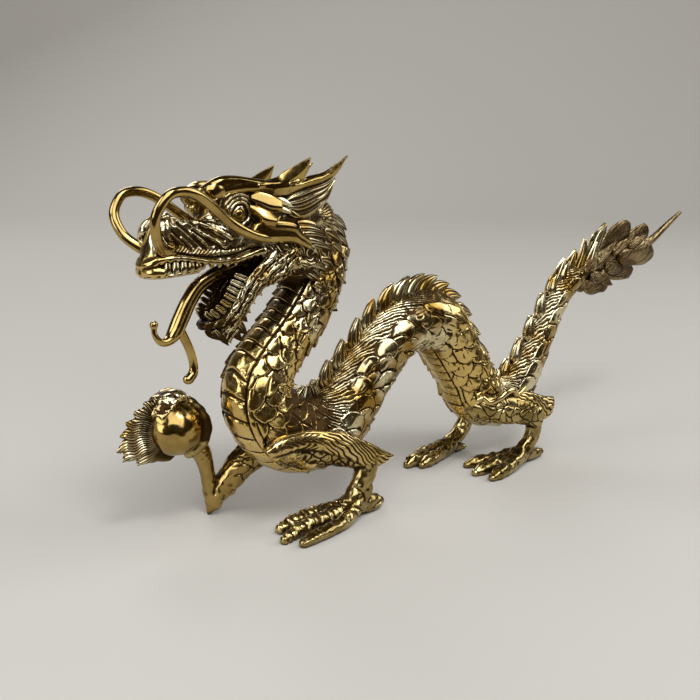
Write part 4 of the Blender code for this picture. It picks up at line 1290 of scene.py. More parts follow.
def jaw_painted_shade(points):
    """A little darker all over, and painted shade on the bed of the tongue between the two rows of
    teeth.
    """
    above = points[:, 2] - (99.2 + 0.85 * (points[:, 0] + 6.3))
    bed = 0.35 * ease(9.4 - np.abs(points[:, 1]), 0, 1.5) * ease(above, -1.5, 0.5)
    return bed + 0.12


finish(lean_over(carve(jaw, [], jaw_texture)), carved, stain_and_painted_shade=jaw_painted_shade)

# %% Beard
BEARD = [((-22, 86), (-16.9, 78.0), -1.6), ((-20, 87), (-14.0, 78.2), 1.4),
         ((-17, 86), (-11.2, 78.8), -2.6), ((-24, 86), (-19.8, 80.4), 2.4),
         ((-24.4, 85.6), (-20.0, 80.6), -3.4), ((-15, 87), (-9.8, 81.6), -4.2)]


def beard_darkening(points):
    """The beard is a little darker, and its lowest locks much darker."""
    return 0.06 + 0.34 * ease(92 - points[:, 2], 0, 4)


for root, tip, y in BEARD:
    ranks.append(lock('beard', (root[0], y, root[1]), (tip[0], y * 0.9, tip[1]), 4.2, thick=1.5))
finish(lean_over(join('beard_and_lower_teeth', ranks)), carved, stain_and_painted_shade=beard_darkening)

# %% Tongue
def hollow_sides(run, turn, radius):
    """A groove along both sides of the tongue."""
    return -0.55 * furrow(np.sin(turn), 0.42) * ease(run, 2, 6) * (1 - ease(run, 44, 50))


strap = [rod('tongue', [(-8, 0, 108.0, 3.2), (-18, 0, 106.6, 3.2), (-27.4, 0, 103, 3.1),
                        (-32.3, 0, 97.8, 3.1), (-36.0, 0, 91.7, 3.2), (-39.2, -0.6, 86.8, 3.0),
                        (-43.0, -2.2, 84.3, 2.0), (-46.8, -3.6, 84.6, 1.4), (-49.2, -4, 87.6, 1.1),
                        (-49.5, -4, 91.2, 1.1)], around=40, step=0.5, relief=hollow_sides),
         rod('tongue fork', [(-37.4, 0.2, 88.6, 1.9), (-34.4, 1.4, 83.6, 1.8), (-31.6, 2.6, 78.4, 1.7),
                             (-30.0, 3, 72.8, 1.7), (-30.2, 3, 69.0, 1.9), (-32.0, 2.8, 67.2, 2.0)],
             around=32, step=0.5),
         ball('tongue tip', (-49.4, -4, 91.4), (1.6, 1.6, 1.6), 4),
         ball('fork tip', (-32.4, 2.8, 66.9), (2.3, 2.1, 2.0), 4)]
finish(lean_over(fuse('tongue', strap, 0.3)), polished)

# %% [markdown]
# ## Ears and mane
#
# Behind the cheek the hair lies in layers, like shingles turned to the tail. One lock is a short
# leaf with three cuts. Many locks with different places, lengths and bows make the mane, and larger
# ones the spikes on the nape. Each is placed one by one, from its root to its tip, because a rule
# would lay them out as evenly as tiles. The ear is one wide leaf with bands along it.

# %% Ears
def ear_relief(u, w):
    """Bands along the ear with deep valleys between them."""
    valleys = furrow(w - 0.55, 0.11) + furrow(w - 0.12, 0.14) + 0.8 * furrow(w + 0.42, 0.12)
    rim = furrow(w - 0.82, 0.12) + furrow(w + 0.8, 0.12)
    fine = 0.1 * np.cos(26 * w)
    return (0.45 * rim - 1.0 * valleys + fine) * (1 - 0.6 * u ** 2) * ease(u, 0, 0.12)


EAR_UPPER = [(2.4, 11.8, 131.2), (5.7, 12.8, 132.9), (12, 13.6, 134.3), (20.4, 13.4, 135.6),
             (25.8, 12.6, 137.6)]
EAR_LOWER = [(3.6, 12.0, 127.2), (7.4, 13.0, 124.4), (11.7, 13.8, 124.3), (17, 14.0, 126.7),
             (21.9, 13.4, 129.9), (25.9, 12.6, 136.8)]


def ear(side):
    """The ear of one side, and the three short locks around its root."""
    return [blade('ear', mirror(EAR_UPPER, side), mirror(EAR_LOWER, side), 1.7, ear_relief,
                  along=56, around=72, tip=0.3),
            lock('small ear', (3.6, side * 12.6, 127.6), (8.4, side * 14.4, 124.6), 3.0, -0.4,
                 1.2, 1),
            lock('temple', (-1.4, side * 12.6, 131.8), (5.4, side * 13.6, 128.6), 2.8, 0.3, 1.2, 2),
            lock('temple', (-1.0, side * 12.8, 128.4), (5.0, side * 13.8, 126.0), 2.6, 0.3, 1.2, 2)]


print("an ear is", EAR_UPPER[-1][0] - EAR_UPPER[0][0], "mm long")

# %% Mane
MANE = [
    ((7.4, 13.4, 122.6), (19.4, 13.6, 119.4), 3.2, 0.6),
    ((8.0, 13.6, 120.6), (21.4, 13.4, 117.2), 3.4, 0.8),
    ((9.4, 13.6, 118.6), (23.4, 12.8, 115.2), 3.4, 0.8),
    ((10.4, 13.4, 116.4), (23.0, 12.6, 112.2), 3.6, 0.6),
    ((14.0, 12.8, 114.6), (27.4, 11.6, 109.4), 3.8, 0.8),
    ((21.0, 12.2, 118.6), (31.0, 10.2, 112.6), 4.2, 0.8),
    ((25.0, 10.4, 120.6), (34.6, 8.2, 114.6), 4.4, 0.8),
    ((28.0, 8.0, 122.8), (37.4, 5.2, 117.0), 4.6, 0.6),
    ((8.6, 12.6, 107.8), (19.4, 11.8, 101.2), 3.8, 0.9),
    ((4.6, 12.2, 108.2), (13.4, 11.6, 102.4), 3.4, 0.7),
    ((13.6, 12.2, 106.4), (24.2, 10.8, 101.8), 4.0, 0.8),
    ((12.0, 11.4, 104.0), (21.0, 10.6, 97.6), 3.8, 0.8),
    ((20.0, 10.9, 108.0), (29.8, 9.6, 102.8), 4.2, 0.8),
    ((25.4, 10.6, 113.2), (34.0, 8.6, 106.2), 4.4, 0.8),
    ((29.0, 8.6, 116.6), (37.6, 6.2, 109.4), 4.4, 0.6),
    ((19.4, 10.6, 102.4), (28.0, 9.6, 96.4), 4.2, 0.8),
    ((25.4, 9.6, 105.2), (33.8, 7.8, 98.6), 4.4, 0.8),
    ((30.0, 7.4, 109.8), (37.6, 5.0, 102.0), 4.4, 0.6),
    ((17.0, 10.8, 98.4), (25.0, 9.8, 92.0), 4.0, 0.8),
    ((25.0, 8.6, 98.2), (32.4, 7.0, 91.4), 4.2, 0.8),
    ((29.6, 6.0, 103.0), (37.0, 3.8, 95.4), 4.4, 0.6),
    ((28.0, 5.0, 95.0), (34.4, 3.4, 87.6), 4.2, 0.6),
]
NAPE = [((29, 114.5), (43, 107)), ((28, 102), (41, 94.6)), ((23.5, 91), (36.6, 83.6)),
        ((31, 119), (41, 113.6)), ((27, 108), (39.6, 101))]


def mane_darkening(points):
    """The mane is darker. The ears and the locks in front of them are hardly darkened."""
    return 0.2 * ease(points[:, 0], 5, 10) * (1 - 0.8 * ease(points[:, 2], 122, 126))


hair = []
for side in SIDES:
    hair += ear(side)
    for root, tip, width, bow in MANE:
        hair.append(lock('mane', mirror([root], side)[0], mirror([tip], side)[0], width, bow * side,
                         1.1, face=(0.1, side, 0.1)))
for (root_x, root_z), (tip_x, tip_z) in NAPE:
    hair.append(lock('nape spike', (root_x, 0, root_z), (tip_x, 0, tip_z), 7.5, 0.6, 1.6, 3, 0.4,
                     along=30, around=40))
finish(lean_over(join('ears_and_mane', hair)), carved, stain_and_painted_shade=mane_darkening)

# %% [markdown]
# ## The limbs
#
# Each leg is a few rods melted into one: thigh, smooth shin, three toes and a spur. The two inner
# toes of the forefoot are ringed, the outer one has a trough with beads on its rim, and the hind
# toes have soft knuckles. All of that is worked into the rods before they are melted together.
# Small scales and a few folds are carved afterwards, and what reaches below the table is pressed
# flat as a sole.

# %% Toes
RING_PITCH, BEAD_PITCH, KNUCKLE_PITCH = 2.6, 2.1, 5.2


def ringed(run, turn, radius):
    """Rings across a toe."""
    return 0.8 * np.abs(np.sin(np.pi * run / RING_PITCH)) ** 0.7 - 0.55


def knobbed(run, turn, radius):
    """A trough along the top of the outer toe, and small beads on its rim near the end."""
    top = np.maximum(np.sin(turn), 0)
    trough = furrow(np.cos(turn) + 0.25, 0.5) * top * ease(run, 2.5, 5) * (1 - ease(run, 22, 27))
    bead = furrow(np.mod(run, BEAD_PITCH) - BEAD_PITCH / 2, 0.6)
    bead = bead * furrow(np.cos(turn) + 0.9, 0.14) * (np.sin(turn) > 0)
    return 0.6 * bead * (1 - ease(run, 10, 14)) - 0.7 * trough


def knuckled(run, turn, radius):
    """Soft knuckles along a smooth toe or claw."""
    return 0.13 * np.cos(2 * np.pi * run / KNUCKLE_PITCH)


def toe(stations, relief=ringed):
    """Toe from its tip to the ankle, along stations of x, y, z and radius."""
    return rod('toe', stations, around=36, step=0.3, relief=relief)


print("rings every", RING_PITCH, "mm, knuckles every", KNUCKLE_PITCH, "mm")

# %% One limb from its forms
def limb_texture(low, top, front, end, seed):
    """Small rounded scales on a thigh, between two heights and two lengths."""
    def relief(points, normals):
        x, _, z = points.T
        swirl = np.stack([ripple(points, 11, seed + 2), ripple(points, 9, seed + 3)], axis=1)
        flat = points[:, [0, 2]] + 0.4 * np.abs(points[:, [1]]) + 1.3 * swirl
        near, second = cells(flat, 4.6, seed)
        there = ease(z, low, low + 3) * (1 - ease(z, top, top + 4)) * ease(x, front, front + 3)
        there = there * (1 - ease(x, end - 3, end)) * ease(np.abs(normals[:, 1]), 0.1, 0.45)
        scale = 0.6 * (1 - near ** 2) - 0.6 * furrow(second - near, 0.1)
        folds = 0.3 * ripple(points * (1, 1, 0.6), 4.2, seed + 1)
        folds = folds * (1 - ease(z, 10, 15)) * ease(z, 2, 5)
        return scale * there + folds + 0.07 * ripple(points, 3, seed)
    return relief


def limb(name, forms, texture, cuts=()):
    """Melt the forms of one limb, carve it and press its soles flat."""
    piece = carve(fuse(name, forms, 0.34, relax=1), cuts, texture)
    points = read_points(piece)
    points[:, 2] = np.maximum(points[:, 2], 0)
    write_points(piece, points)
    return piece


def dark_toes(points):
    """The hind toes are darker low down, behind their tips."""
    x, _, z = points.T
    return 0.05 * (1 - ease(z, 6, 12)) * ease(x, 88, 96) * (0.6 + 0.4 * ripple(points, 7, 41))


def foreleg_painted_shade(points):
    """Painted shade on the scales under the shoulder shield, and the ribbed toes a little darker."""
    x, y, z = points.T
    scales = 0.15 * ease(z, 19, 24) * (1 - ease(x, 30, 36))
    return scales + 0.04 * (1 - ease(z, 7, 10)) * ease(y, -23, -21)


print("each limb will be melted, carved and pressed on the table")

# %% Left foreleg
ANKLE_CUTS = [
    (-1.1, 0.5, [(34.6, 0.6), (38.6, 2.2), (42.5, 3.6), (45.4, 4.4)]),
    (-0.6, 0.5, [(26, 8.4), (29.5, 6.4), (32, 3.2)]),
    (-0.5, 0.4, [(24.2, 7.4), (27.2, 5.2), (28.6, 2.4)]),
    (-0.5, 0.5, [(31, 13.4), (33.6, 10), (34, 7.6)]),
]
forms = [
    rod('upper arm', [(4, -8, 34, 7.5), (20, -12.6, 31, 6.4), (33, -15.0, 25.6, 5.2),
                      (39.6, -16.8, 22, 4.6)], around=60),
    rod('shin', [(39.4, -17.6, 25, 4.6), (36.9, -17.6, 17.5, 4.7), (34.9, -17.5, 13.9, 4.3),
                 (32.6, -17.4, 10.4, 4.1), (30.0, -17.2, 6.6, 4.2)], around=40),
    toe([(-2.2, -12.8, 1.9, 2.2), (3.6, -12.3, 2.8, 3.2), (12, -12.0, 3.1, 3.4),
         (22, -12.8, 3.5, 3.5), (31, -15.4, 5.6, 3.8)]),
    toe([(-6.2, -21.4, 1.3, 1.9), (1.4, -19.2, 2.4, 2.9), (10, -17.4, 2.8, 3.2),
         (20, -16.8, 3.0, 3.3), (30, -17, 5.0, 3.6)]),
    toe([(-1.8, -28.4, 1.6, 2.2), (4, -27.5, 2.1, 2.8), (12, -26.2, 2.2, 2.9), (20, -24.4, 2.6, 3.0),
         (27, -21.8, 4.2, 3.0), (33, -19.0, 7.4, 3.4), (36.4, -18.4, 12, 3.6)], knobbed),
    rod('spur', [(31, -17, 6.4, 4.6), (36, -17, 4.6, 4.5), (40, -16.8, 3.7, 4.0),
                 (43.8, -16.7, 3.2, 3.3), (46.0, -16.6, 3.0, 2.0)], around=40, step=0.4),
]
finish(limb('left_foreleg', forms, limb_texture(21, 45, -8, 46, 31), ANKLE_CUTS), footed,
       stain_and_painted_shade=foreleg_painted_shade)

# %% Left hind leg
forms = [
    rod('thigh', [(110, -8, 30, 6.0), (119, -12.8, 28.6, 7.4), (129, -16, 26.6, 7.0),
                  (136.6, -18.2, 22.0, 5.0)], around=60),
    rod('shin', [(137.2, -18.8, 24, 4.4), (137.4, -18.9, 16, 3.7), (135.2, -18.8, 10.4, 3.6),
                 (131.4, -18.4, 6.4, 3.7)], around=40),
    toe([(106.6, -7.2, 1.3, 2.05), (110.6, -8.6, 2.3, 2.85), (119, -11.8, 2.8, 3.15),
         (130, -17.4, 4.8, 3.75)], knuckled),
    toe([(102.8, -16.6, 1.3, 2.05), (107, -16.8, 2.2, 2.95), (116, -17.2, 2.8, 3.15),
         (130, -18.2, 4.8, 3.75)], knuckled),
    toe([(104.8, -25.6, 1.3, 2.15), (109, -25.2, 2.2, 3.05), (118, -23.0, 2.8, 3.25),
         (130, -19.0, 5.0, 3.75)], knuckled),
    rod('spur', [(130, -18.2, 5.0, 3.6), (136.4, -18, 3.0, 3.1), (141.4, -17.8, 2.6, 2.5),
                 (144.4, -17.8, 2.4, 1.5)], around=40, step=0.4),
]
finish(limb('left_hind_leg', forms, limb_texture(17, 40, 106, 146, 32)), footed, stain_and_painted_shade=dark_toes)

# %% Right hind leg
forms = [
    rod('thigh', [(114, 5, 29, 6.0), (122, 10, 25, 7.2), (124, 11.5, 17, 4.4)], around=60),
    rod('shin', [(124, 11.4, 19, 4.1), (122.4, 11.8, 13.5, 3.9), (118.6, 12.2, 8.4, 3.8),
                 (113.5, 12.4, 5.2, 3.9)], around=40),
    toe([(90.0, 5.4, 1.4, 2.15), (94, 6.0, 2.3, 3.05), (103, 8.6, 3.0, 3.35),
         (113.5, 12, 4.6, 3.95)], knuckled),
    toe([(84.9, 9.8, 1.6, 2.25), (88.6, 10.2, 2.7, 3.25), (96, 10.8, 3.2, 3.55),
         (105, 11.8, 3.8, 3.75), (113.5, 12.4, 4.8, 3.95)], knuckled),
    toe([(97.4, 18.0, 1.2, 1.95), (101, 17.4, 2.0, 2.55), (107, 15.4, 2.8, 2.95),
         (113.5, 13, 4.4, 3.55)], knuckled),
    rod('spur', [(113, 12.4, 4.6, 3.6), (117, 11.2, 2.8, 2.8), (120.4, 10.4, 2.2, 1.6)],
        around=40, step=0.4),
]
finish(limb('right_hind_leg', forms, limb_texture(16, 36, 106, 140, 33)), footed, stain_and_painted_shade=dark_toes)

# %% [markdown]
# The right arm kneels on its elbow, and its claws close around the pearl from behind. They follow
# circles on the pearl, so they are worked out from its middle and radius, and fit it when it moves.

# %% Right arm
PEARL = np.array([-30.5, 18.0, 43.2])
PEARL_RADIUS = 11.8
CLAW_TURNS = (-42, 2, 46, 90)
CLAW_RISES = (-66, -40, -14, 12, 36, 58)


def claw(turn):
    """One claw up the pearl, at this angle around it, thinner towards its point."""
    places = []
    for rise in CLAW_RISES:
        a, b = math.radians(turn), math.radians(rise)
        way = np.array([math.cos(b) * math.cos(a), math.cos(b) * math.sin(a), math.sin(b)])
        places.append((*(PEARL + (PEARL_RADIUS + 0.4) * way), 2.3 if rise < 36 else 1.1))
    return rod('claw', places, around=32, step=0.5, relief=knuckled)


def hand_darkening(points):
    """The hand is darker, most of all high up behind the pearl."""
    return 0.12 + 0.2 * ease(points[:, 2], 34, 42)


def arm_soot(points):
    """A few dark scratches across the smooth forearm."""
    return 0.12 * ease(ripple(points * (1, 1, 2.2), 6, 61), 0.25, 0.5)


finish(fuse('right_hand', [claw(turn) for turn in CLAW_TURNS], 0.34), footed, stain_and_painted_shade=hand_darkening)
forms = [
    rod('upper arm', [(8, 9, 31, 7.4), (-1, 14, 23.4, 6.0), (-6.6, 18, 15.5, 5.3),
                      (-11.6, 20.4, 8.4, 4.4), (-14.4, 21.0, 2.4, 2.0), (-15.0, 21.2, 0.7, 1.0)],
        around=50),
    rod('forearm', [(-12.6, 20.8, 5.0, 3.6), (-14.4, 20.8, 12.4, 3.3), (-15.8, 20.2, 19.5, 3.1),
                    (-17.6, 19.2, 25.5, 3.6), (-19.6, 18.4, 30.0, 4.3), (-22.6, 18.0, 33.4, 4.6)],
        around=40),
]
finish(limb('right_arm', forms, limb_texture(5, 40, -9, 14, 34)), polished, stain_and_painted_shade=arm_soot)

# %% [markdown]
# ## Shields on the shoulder and thigh
#
# A broad leaf lies over the left shoulder and runs to a point behind the elbow. Its front third is
# stippled, its upper rim is raised, and the rest is cut by slanting grooves. The left thigh carries
# a smaller one with a wavy rim and two locks behind it, and the right thigh a plainer one. Such a
# plate could be a sheet with Solidify. A blade between two edges is easier to fit to the shoulder,
# because its edges are just the two lines that show.

# %% Shields on the shoulder and thigh
def shield_relief(length, pitch, stippled_to):
    """Raised rim along the upper edge, and slanting grooves behind the stippled front part."""
    def relief(u, w):
        run = u * length / pitch + 2.6 * w + 0.5 * w ** 2
        run = run + 0.3 * np.sin(17 * u + 2 * w) + 0.15 * np.sin(41 * u - 5 * w)
        cut = (0.5 + 0.5 * np.cos(2 * np.pi * run)) ** 1.8
        rear = ease(u, stippled_to, stippled_to + 0.12)
        dimples = np.sin(length * 1.3 * u + 3 * np.sin(5 * w))
        dimples = dimples * np.sin(8 * w + 3 * np.sin(length * 0.5 * u))
        front = 0.1 * dimples * (1 - rear) * (1 - w ** 4)
        return 0.45 * furrow(w - 0.88, 0.09) - 0.6 * cut * rear * (1 - 0.3 * np.abs(w)) + front
    return relief


shields = [
    blade('shoulder', [(-10.0, -14.6, 38.2), (-8.3, -14.8, 40.0), (-3.4, -15.2, 42.3),
                       (4.8, -16.6, 43.2), (13.9, -18.2, 41.8), (26.1, -19.6, 38.2),
                       (36.2, -20.4, 32.6), (44.9, -20.6, 27.0), (49.2, -20, 24.4)],
          [(-10.0, -15.0, 36.6), (-8.0, -16.0, 34.2), (-3.4, -17.4, 34.6), (4.8, -18.4, 35.0),
           (15.0, -19.8, 32.2), (26.0, -20.4, 27.0), (36.0, -20.4, 21.4), (43.6, -20.4, 20.8),
           (49.0, -20, 23.6)],
          2.6, shield_relief(62, 4.3, 0.36), along=160, around=96, tip=0.8, section=3.0),
    rod('thigh rim', [(103.6, -15.4, 35.6, 0.8), (106.0, -16.4, 36.4, 1.0),
                      (108.8, -17.6, 33.9, 1.3), (112.4, -18.2, 34.4, 1.3),
                      (115.6, -18.6, 35.4, 1.4), (118.2, -18.8, 37.0, 1.5),
                      (121.2, -18.8, 37.6, 1.5), (123.2, -19.0, 36.8, 1.3),
                      (124.6, -19.2, 34.8, 1.2), (127.0, -19.0, 35.4, 1.3),
                      (130.6, -18.6, 37.0, 0.9)], around=36, step=0.4),
    blade('thigh shield', [(119.0, -17.6, 33.0), (126.0, -18.6, 35.4), (132.0, -19.2, 35.4),
                           (138.8, -19.8, 32.6), (143.0, -20.2, 31.0), (148.3, -20.4, 29.8)],
          [(121.0, -19.0, 27.0), (127.0, -19.8, 24.0), (133.0, -20.2, 22.2), (138.0, -20.4, 20.8),
           (141.4, -20.4, 19.8), (144.4, -20.4, 19.6)],
          2.6, shield_relief(30, 4.6, 0.1), along=90, around=90, tip=1.0, section=3.0),
]
for (root_x, root_z), (tip_x, tip_z), width in (((139, 27.6), (149.2, 26.4), 4.6),
                                                ((136, 23.6), (147.4, 22.4), 4.2)):
    shields.append(lock('thigh notch', (root_x, -20.2, root_z), (tip_x, -20.8, tip_z), width, 0.2,
                        1.8, 2, 0.4, along=30, around=40))
shields.append(blade('right thigh', [(114, 12.5, 34), (123, 15.6, 33.5), (138, 17.0, 28.4)],
                     [(115, 12.5, 27), (124, 15.6, 24.5), (137.8, 17.0, 27.6)], 2.2,
                     shield_relief(26, 1.9, 0.2), along=60, around=48, tip=0.2))


def shield_warmth(points):
    """The shields are a warm gold all over."""
    return np.full(len(points), 0.6)


def shield_soot(points):
    """The stippled front of the shoulder shield is browner than its rear."""
    return 0.05 + 0.05 * (1 - ease(points[:, 0], 8, 18))


finish(join('shields', shields), carved, shield_warmth, shield_soot)

# %% [markdown]
# ## The flaming pearl
#
# The pearl is a polished ball, and a hand polishes it a little uneven. Flames fan out from its front
# half as one plate with a saw-toothed edge, whose radius is read from a list of angles, and with
# grooves that run outwards. A rough skin of small flames covers the place where the fan leaves the
# ball.

# %% The pearl
def hand_rubbed(piece, depth):
    """Slight unevenness, left on a ball that was polished by hand."""
    points = read_points(piece)
    height = depth * (ripple(points, 11, 51) + 0.4 * ripple(points, 4.5, 52))
    write_points(piece, points + unit(points - PEARL) * height[:, None])
    return piece


finish(hand_rubbed(ball('pearl', PEARL, PEARL_RADIUS, 6), 0.11), polished, share=1)

# %% The flames
FAN_EDGE = np.array([
    (96, 12.6), (104, 13.6), (108, 12.9), (113, 14.8), (118, 14.0), (125, 16.2), (130, 15.2),
    (138, 18.0), (143, 16.8), (151.4, 19.9), (156.5, 18.4), (165, 22.0), (169.5, 20.6),
    (178, 24.0), (183, 22.0), (190.5, 26.3), (197.5, 23.6), (204.8, 25.4), (211, 20.4),
    (217.7, 21.6), (226, 17.6), (238, 15.6), (260, 14.6), (268, 12.6)])
FAN_ROOT = 8.0
FLAME_PITCH = 3.4


def fan_of_flames():
    """Saw-toothed plate around the front half of the pearl, in rings from top to bottom."""
    angles = np.linspace(FAN_EDGE[0, 0], FAN_EDGE[-1, 0], 430)
    turn = ring_turns(84)
    outer = np.interp(angles, *FAN_EDGE.T)[:, None]
    angles = angles[:, None]
    share = (1 + np.cos(turn)) / 2 * np.ones_like(outer)
    reach = FAN_ROOT + (outer - FAN_ROOT) * share
    lines = np.abs(np.sin(np.pi * (angles + 3 * share) / FLAME_PITCH)) ** 0.7
    thick = (3.6 - 2.7 * share ** 0.8) * (1 - (2 * share - 1) ** 8) + 0.55 * (lines - 0.8)
    places = np.stack([reach, 0 * reach, angles / 4 + 0 * reach], axis=-1)
    turned = np.radians(angles) + 0.03 * ripple(places, 9, 41)
    away = np.stack([reach * np.cos(turned), 1.0 + thick * np.sign(np.sin(turn)),
                     reach * np.sin(turned)], axis=-1)
    return roll('fan of flames', PEARL + away)


def flame_base():
    """Rough skin of small flames on the front and the top of the ball."""
    piece = ball('flame base', (0, 0, 0), (1, 1, 1), 6)
    ways = read_points(piece)
    toward = ways @ unit(np.array([-0.40, 0.30, 0.86])) + 0.06 * ripple(ways * 13, 9, 44)
    near, second = cells(ways[:, [0, 2]] * 13 + ways[:, [1]] * 4, 3.0, 42)
    rough = 0.5 * (1 - near ** 2) - 0.4 * furrow(second - near, 0.14)
    rough = rough + 0.7 * ripple(ways * 13, 6, 43)
    swell = ease(ways @ unit(np.array([-0.10, 0.36, 0.92])), 0.66, 0.98)
    height = 11.0 + (1.7 + rough) * ease(toward, 0.60, 0.70) + 1.9 * swell
    write_points(piece, PEARL + ways * height[:, None])
    return piece


def flame_soot(points):
    """Dark where the fan leaves the pearl."""
    away = np.hypot(points[:, 0] - PEARL[0], points[:, 2] - PEARL[2])
    return 0.04 + 0.12 * (1 - ease(away, 13, 20))


finish(join('flames', [fan_of_flames(), flame_base()]), carved, stain_and_painted_shade=flame_soot)
peaks = np.diff(np.sign(np.diff(FAN_EDGE[:, 1]))) < 0
print("the fan has", int(peaks.sum()), "points")

# %% [markdown]
# ## The tuft of the tail
#
# The tail ends in a fan of leaves around a core, with short locks on both sides and one long spike
# beyond. The front edges of the upper leaves slant and their rear edges drop steeply, the lower
# leaves hang like petals, and the last one is smooth. Each leaf is a blade between a front and a
# back edge, so that both can be drawn as they show. Most of the tuft kept its dark coat. Only its
# first five leaves were rubbed as bright as the crest, so they are a piece of their own.

# %% Dark leaves of the tuft
SIDE_LEAVES = [(178, 78, 14, 0.62), (186, 82, 15, 0.62), (196, 86, 16, 0.55), (208, 89, 17, 0.42),
               (220, 91, 15, 0.3), (182, 75, 13, 0.1), (192, 79, 14, -0.1), (203, 83, 15, -0.25),
               (214, 86, 14, -0.35), (188, 76, 12, -0.55), (200, 80, 12, -0.7)]


def broad_leaf(front, back, thick, y, cuts, depth=0.9):
    """Leaf of the tuft in the plane at y, between a front and a back edge of x and z."""
    return blade('tuft leaf', [(x, y, z) for x, z in front], [(x, y, z) for x, z in back], thick,
                 grooves(cuts, depth, 0.06), along=34, around=120, tip=0.4, face=ACROSS)


def spike_rings(run, turn, radius):
    """Fine rings towards the point of the spike."""
    return 0.07 * np.cos(2 * np.pi * run / 2.6) * ease(run, 8, 10)


tuft = [
    rod('core', [(181, 0, 77.6, 3.4), (190, 0, 82, 4.6), (204, 0, 86, 4.4), (218, 0, 88, 3.6),
                 (232, 0, 89, 2.6), (241, 0, 91.4, 2.2)], around=48, flat=0.55,
        relief=ribbed(9, 0.2, 0.25)),
    rod('spike', [(236, 0, 89.6, 2.6), (243, 0, 91.8, 2.3), (250, 0, 95.6, 1.9),
                  (258, 0, 100.0, 1.5), (265.2, 0, 103.8, 0.9)], around=32, flat=0.75,
        relief=spike_rings),
    broad_leaf([(196, 86), (204, 98.8), (213, 103.6), (219.4, 104.2)],
               [(216, 88), (221.6, 93.6), (223.6, 99), (222.8, 102.4)], 2.2, -0.8, 12),
    broad_leaf([(212, 88), (221.0, 96.3), (230, 99.6), (235.8, 100.8)],
               [(232, 88), (238, 91), (240.8, 95.6), (239.4, 99.0)], 2.0, 0.8, 10),
    broad_leaf([(214, 91), (228, 92.6), (238.6, 91.4), (242.3, 87.2)],
               [(212, 84), (222, 80.8), (233.8, 79.4), (241.0, 81.3)], 2.6, -1.4, 0),
    broad_leaf([(204, 90), (216, 88.4), (224.6, 82.6), (227.9, 78.2)],
               [(196, 80), (203, 76.4), (215.3, 73.6), (224.4, 73.4)], 2.6, -0.6, 10),
    broad_leaf([(190, 88), (202, 84), (208, 77), (210.2, 71.6)],
               [(182, 76), (190, 71.6), (199.3, 69.0), (206.8, 68.2)], 2.6, 0.8, 10),
]
for side in SIDES:
    for x, z, size, turn in SIDE_LEAVES:
        tip = (x + size * math.cos(turn), side * 2.6, z + size * math.sin(turn))
        tuft.append(lock('side leaf', (x, side * 2.2, z), tip, 6.4, 0.8, 2.2, 7, 0.4,
                         face=(0, side, 0), along=16, around=110))
finish(join('tail_tuft', tuft), striated)

# %% Bright leaves in front of the tuft
BRIGHT_LEAVES = [
    ([(164, 80), (168, 85), (173.6, 90.2)], [(178, 78), (178.6, 84), (175.4, 89.2)], 2.0, -0.4),
    ([(171, 81), (176, 87.6), (182.2, 93.2)], [(186, 80), (186.4, 87), (183.8, 92.4)], 2.0, 0.3),
    ([(178, 82), (184.0, 90.4), (187.6, 98.2)], [(191.5, 82), (192.0, 90), (189.6, 97.0)], 1.9, -0.6),
    ([(186, 82), (189.8, 89), (194.8, 96.2)], [(197, 82), (199.0, 89), (196.6, 95.2)], 1.9, -1.9),
    ([(187, 84), (194.6, 97.9), (204.0, 104.2)], [(200, 84), (205.0, 93), (206.4, 102.6)], 2.4, 0.7),
]
bright = [broad_leaf(front, back, thick, y, 4, 0.6) for front, back, thick, y in BRIGHT_LEAVES]
finish(join('front_of_tuft', bright), carved)

# %% [markdown]
# ## The light
#
# The light is that of an open sky: broad and soft, from behind the camera. Metal shows what it
# mirrors, so the lamps are large and slightly blue, with darker room between them. A low one on the
# left lights the face from the side, as a white card would. The floor is pale, which lights the
# belly and the undersides from below. Behind the figure it curves up into a wall, so that the
# camera sees no horizon.

# %% Floor
FLOOR_COLOUR = (0.475, 0.442, 0.362)
FLOOR_DEPTH, BEND_START, BEND_RADIUS = 3.0, 0.75, 0.5
FLOOR_WIDTH, FLOOR_NEAR = 5, 0.205


def cyclorama():
    """Pale floor that curves up into a wall behind the figure."""
    deselect_all()
    bpy.ops.mesh.primitive_grid_add(x_subdivisions=60, y_subdivisions=2, size=1)
    sheet = bpy.context.object
    sheet.name = 'studio_floor'
    flat = read_points(sheet)
    run = (flat[:, 0] + 0.5) * FLOOR_DEPTH - FLOOR_NEAR
    turn = np.clip((run - BEND_START) / BEND_RADIUS, 0, np.pi / 2)
    beyond = np.maximum(run - BEND_START - BEND_RADIUS * np.pi / 2, 0)
    forward = np.minimum(run, BEND_START) + BEND_RADIUS * np.sin(turn)
    upward = BEND_RADIUS * (1 - np.cos(turn)) + beyond
    ahead, side = np.array([0.616, 0.788]), np.array([0.788, -0.616])
    level = forward[:, None] * ahead + (flat[:, 1] * FLOOR_WIDTH)[:, None] * side
    write_points(sheet, np.column_stack([level, upward]))
    sheet.data.shade_smooth()
    paper = bpy.data.materials.new('pale plaster floor')
    paper.use_nodes = True
    shader = paper.node_tree.nodes['Principled BSDF']
    shader.inputs['Base Color'].default_value = (*FLOOR_COLOUR, 1)
    shader.inputs['Roughness'].default_value = 0.85
    sheet.data.materials.append(paper)


cyclorama()
print("the floor bends up", BEND_START, "m behind the figure")

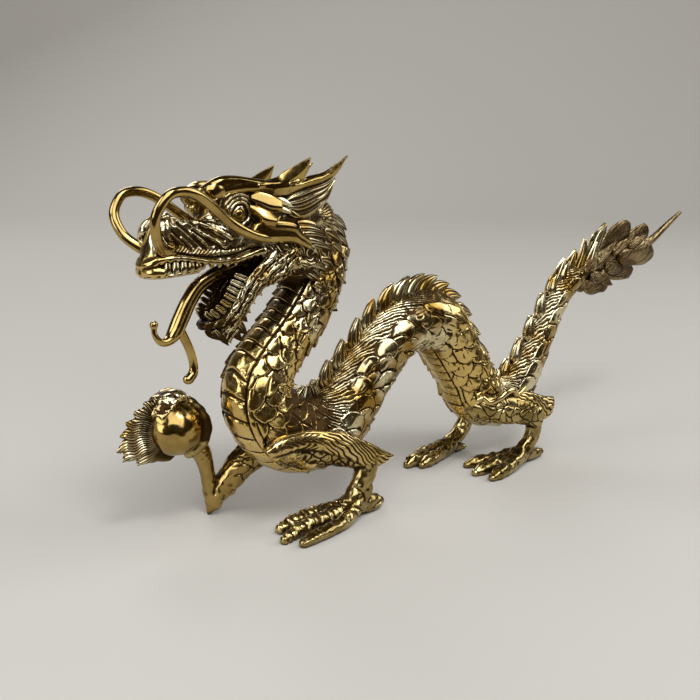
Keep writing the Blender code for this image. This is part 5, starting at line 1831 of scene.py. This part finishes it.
# %% Lamps
SKY_TINT = (0.955, 1.0, 1.14)
ROOM_COLOUR, ROOM_STRENGTH = (0.54, 0.35, 0.13), 0.07
LAMPS = [
    ('sky over the camera', (-0.55, -0.75, 1.0), (0, 0, 0.05), 1.3, 16),
    ('sky on the left', (-1.0, 0.3, 0.7), (0, 0, 0.06), 0.6, 4.5),
    ('sky on the right', (0.8, -0.5, 0.75), (0, 0, 0.06), 0.85, 7.5),
    ('small lamp', (-0.2, -0.6, 1.1), (0, 0, 0.05), 0.25, 3.9),
    ('card on the left', (-1.2, 0.05, 0.14), (0, 0, 0.08), 0.45, 2.2),
    ('far rim', (0.1, 0.9, 0.7), (0, 0, 0.1), 0.5, 3.1),
]


def softbox(name, place, target, size, power):
    """Square lamp at place, turned to target, both in metres."""
    deselect_all()
    bpy.ops.object.light_add(type='AREA', location=place)
    lamp = bpy.context.object
    lamp.name = name
    lamp.data.size = size
    lamp.data.energy = power
    lamp.data.color = SKY_TINT
    lamp.rotation_euler = (Vector(target) - Vector(place)).to_track_quat('-Z', 'Y').to_euler()


for lamp in LAMPS:
    softbox(*lamp)
world = bpy.context.scene.world or bpy.data.worlds.new('room')
bpy.context.scene.world = world
world.use_nodes = True
background = world.node_tree.nodes['Background']
background.inputs['Color'].default_value = (*ROOM_COLOUR, 1)
background.inputs['Strength'].default_value = ROOM_STRENGTH
print(len(LAMPS), "lamps")

# %% [markdown]
# ## The camera
#
# The camera stands in front of the left shoulder, a little above the head, and looks down by about
# fifteen degrees. Its place was worked out from the feet and from the height of the figure. The
# view transform is Standard, which shows the gold as it was mixed.

# %% The camera
CAMERA_PLACE = Vector((-0.33239, -0.34827, 0.18771))
CAMERA_WAY = Vector((0.5933, 0.7594, -0.2670))
CAMERA_LENS = 56.06
SENSOR_WIDTH = 36
bpy.ops.object.camera_add(location=CAMERA_PLACE,
                          rotation=CAMERA_WAY.to_track_quat('-Z', 'Y').to_euler())
camera = bpy.context.object
camera.name = 'camera'
camera.data.lens = CAMERA_LENS
camera.data.sensor_width = SENSOR_WIDTH
bpy.context.scene.camera = camera
bpy.context.scene.view_settings.view_transform = 'Standard'
print("the camera looks down by", round(math.degrees(math.asin(-CAMERA_WAY.normalized().z)), 1),
      "degrees")

# %% [markdown]
# The visible pieces have to fill the same box as the solid.
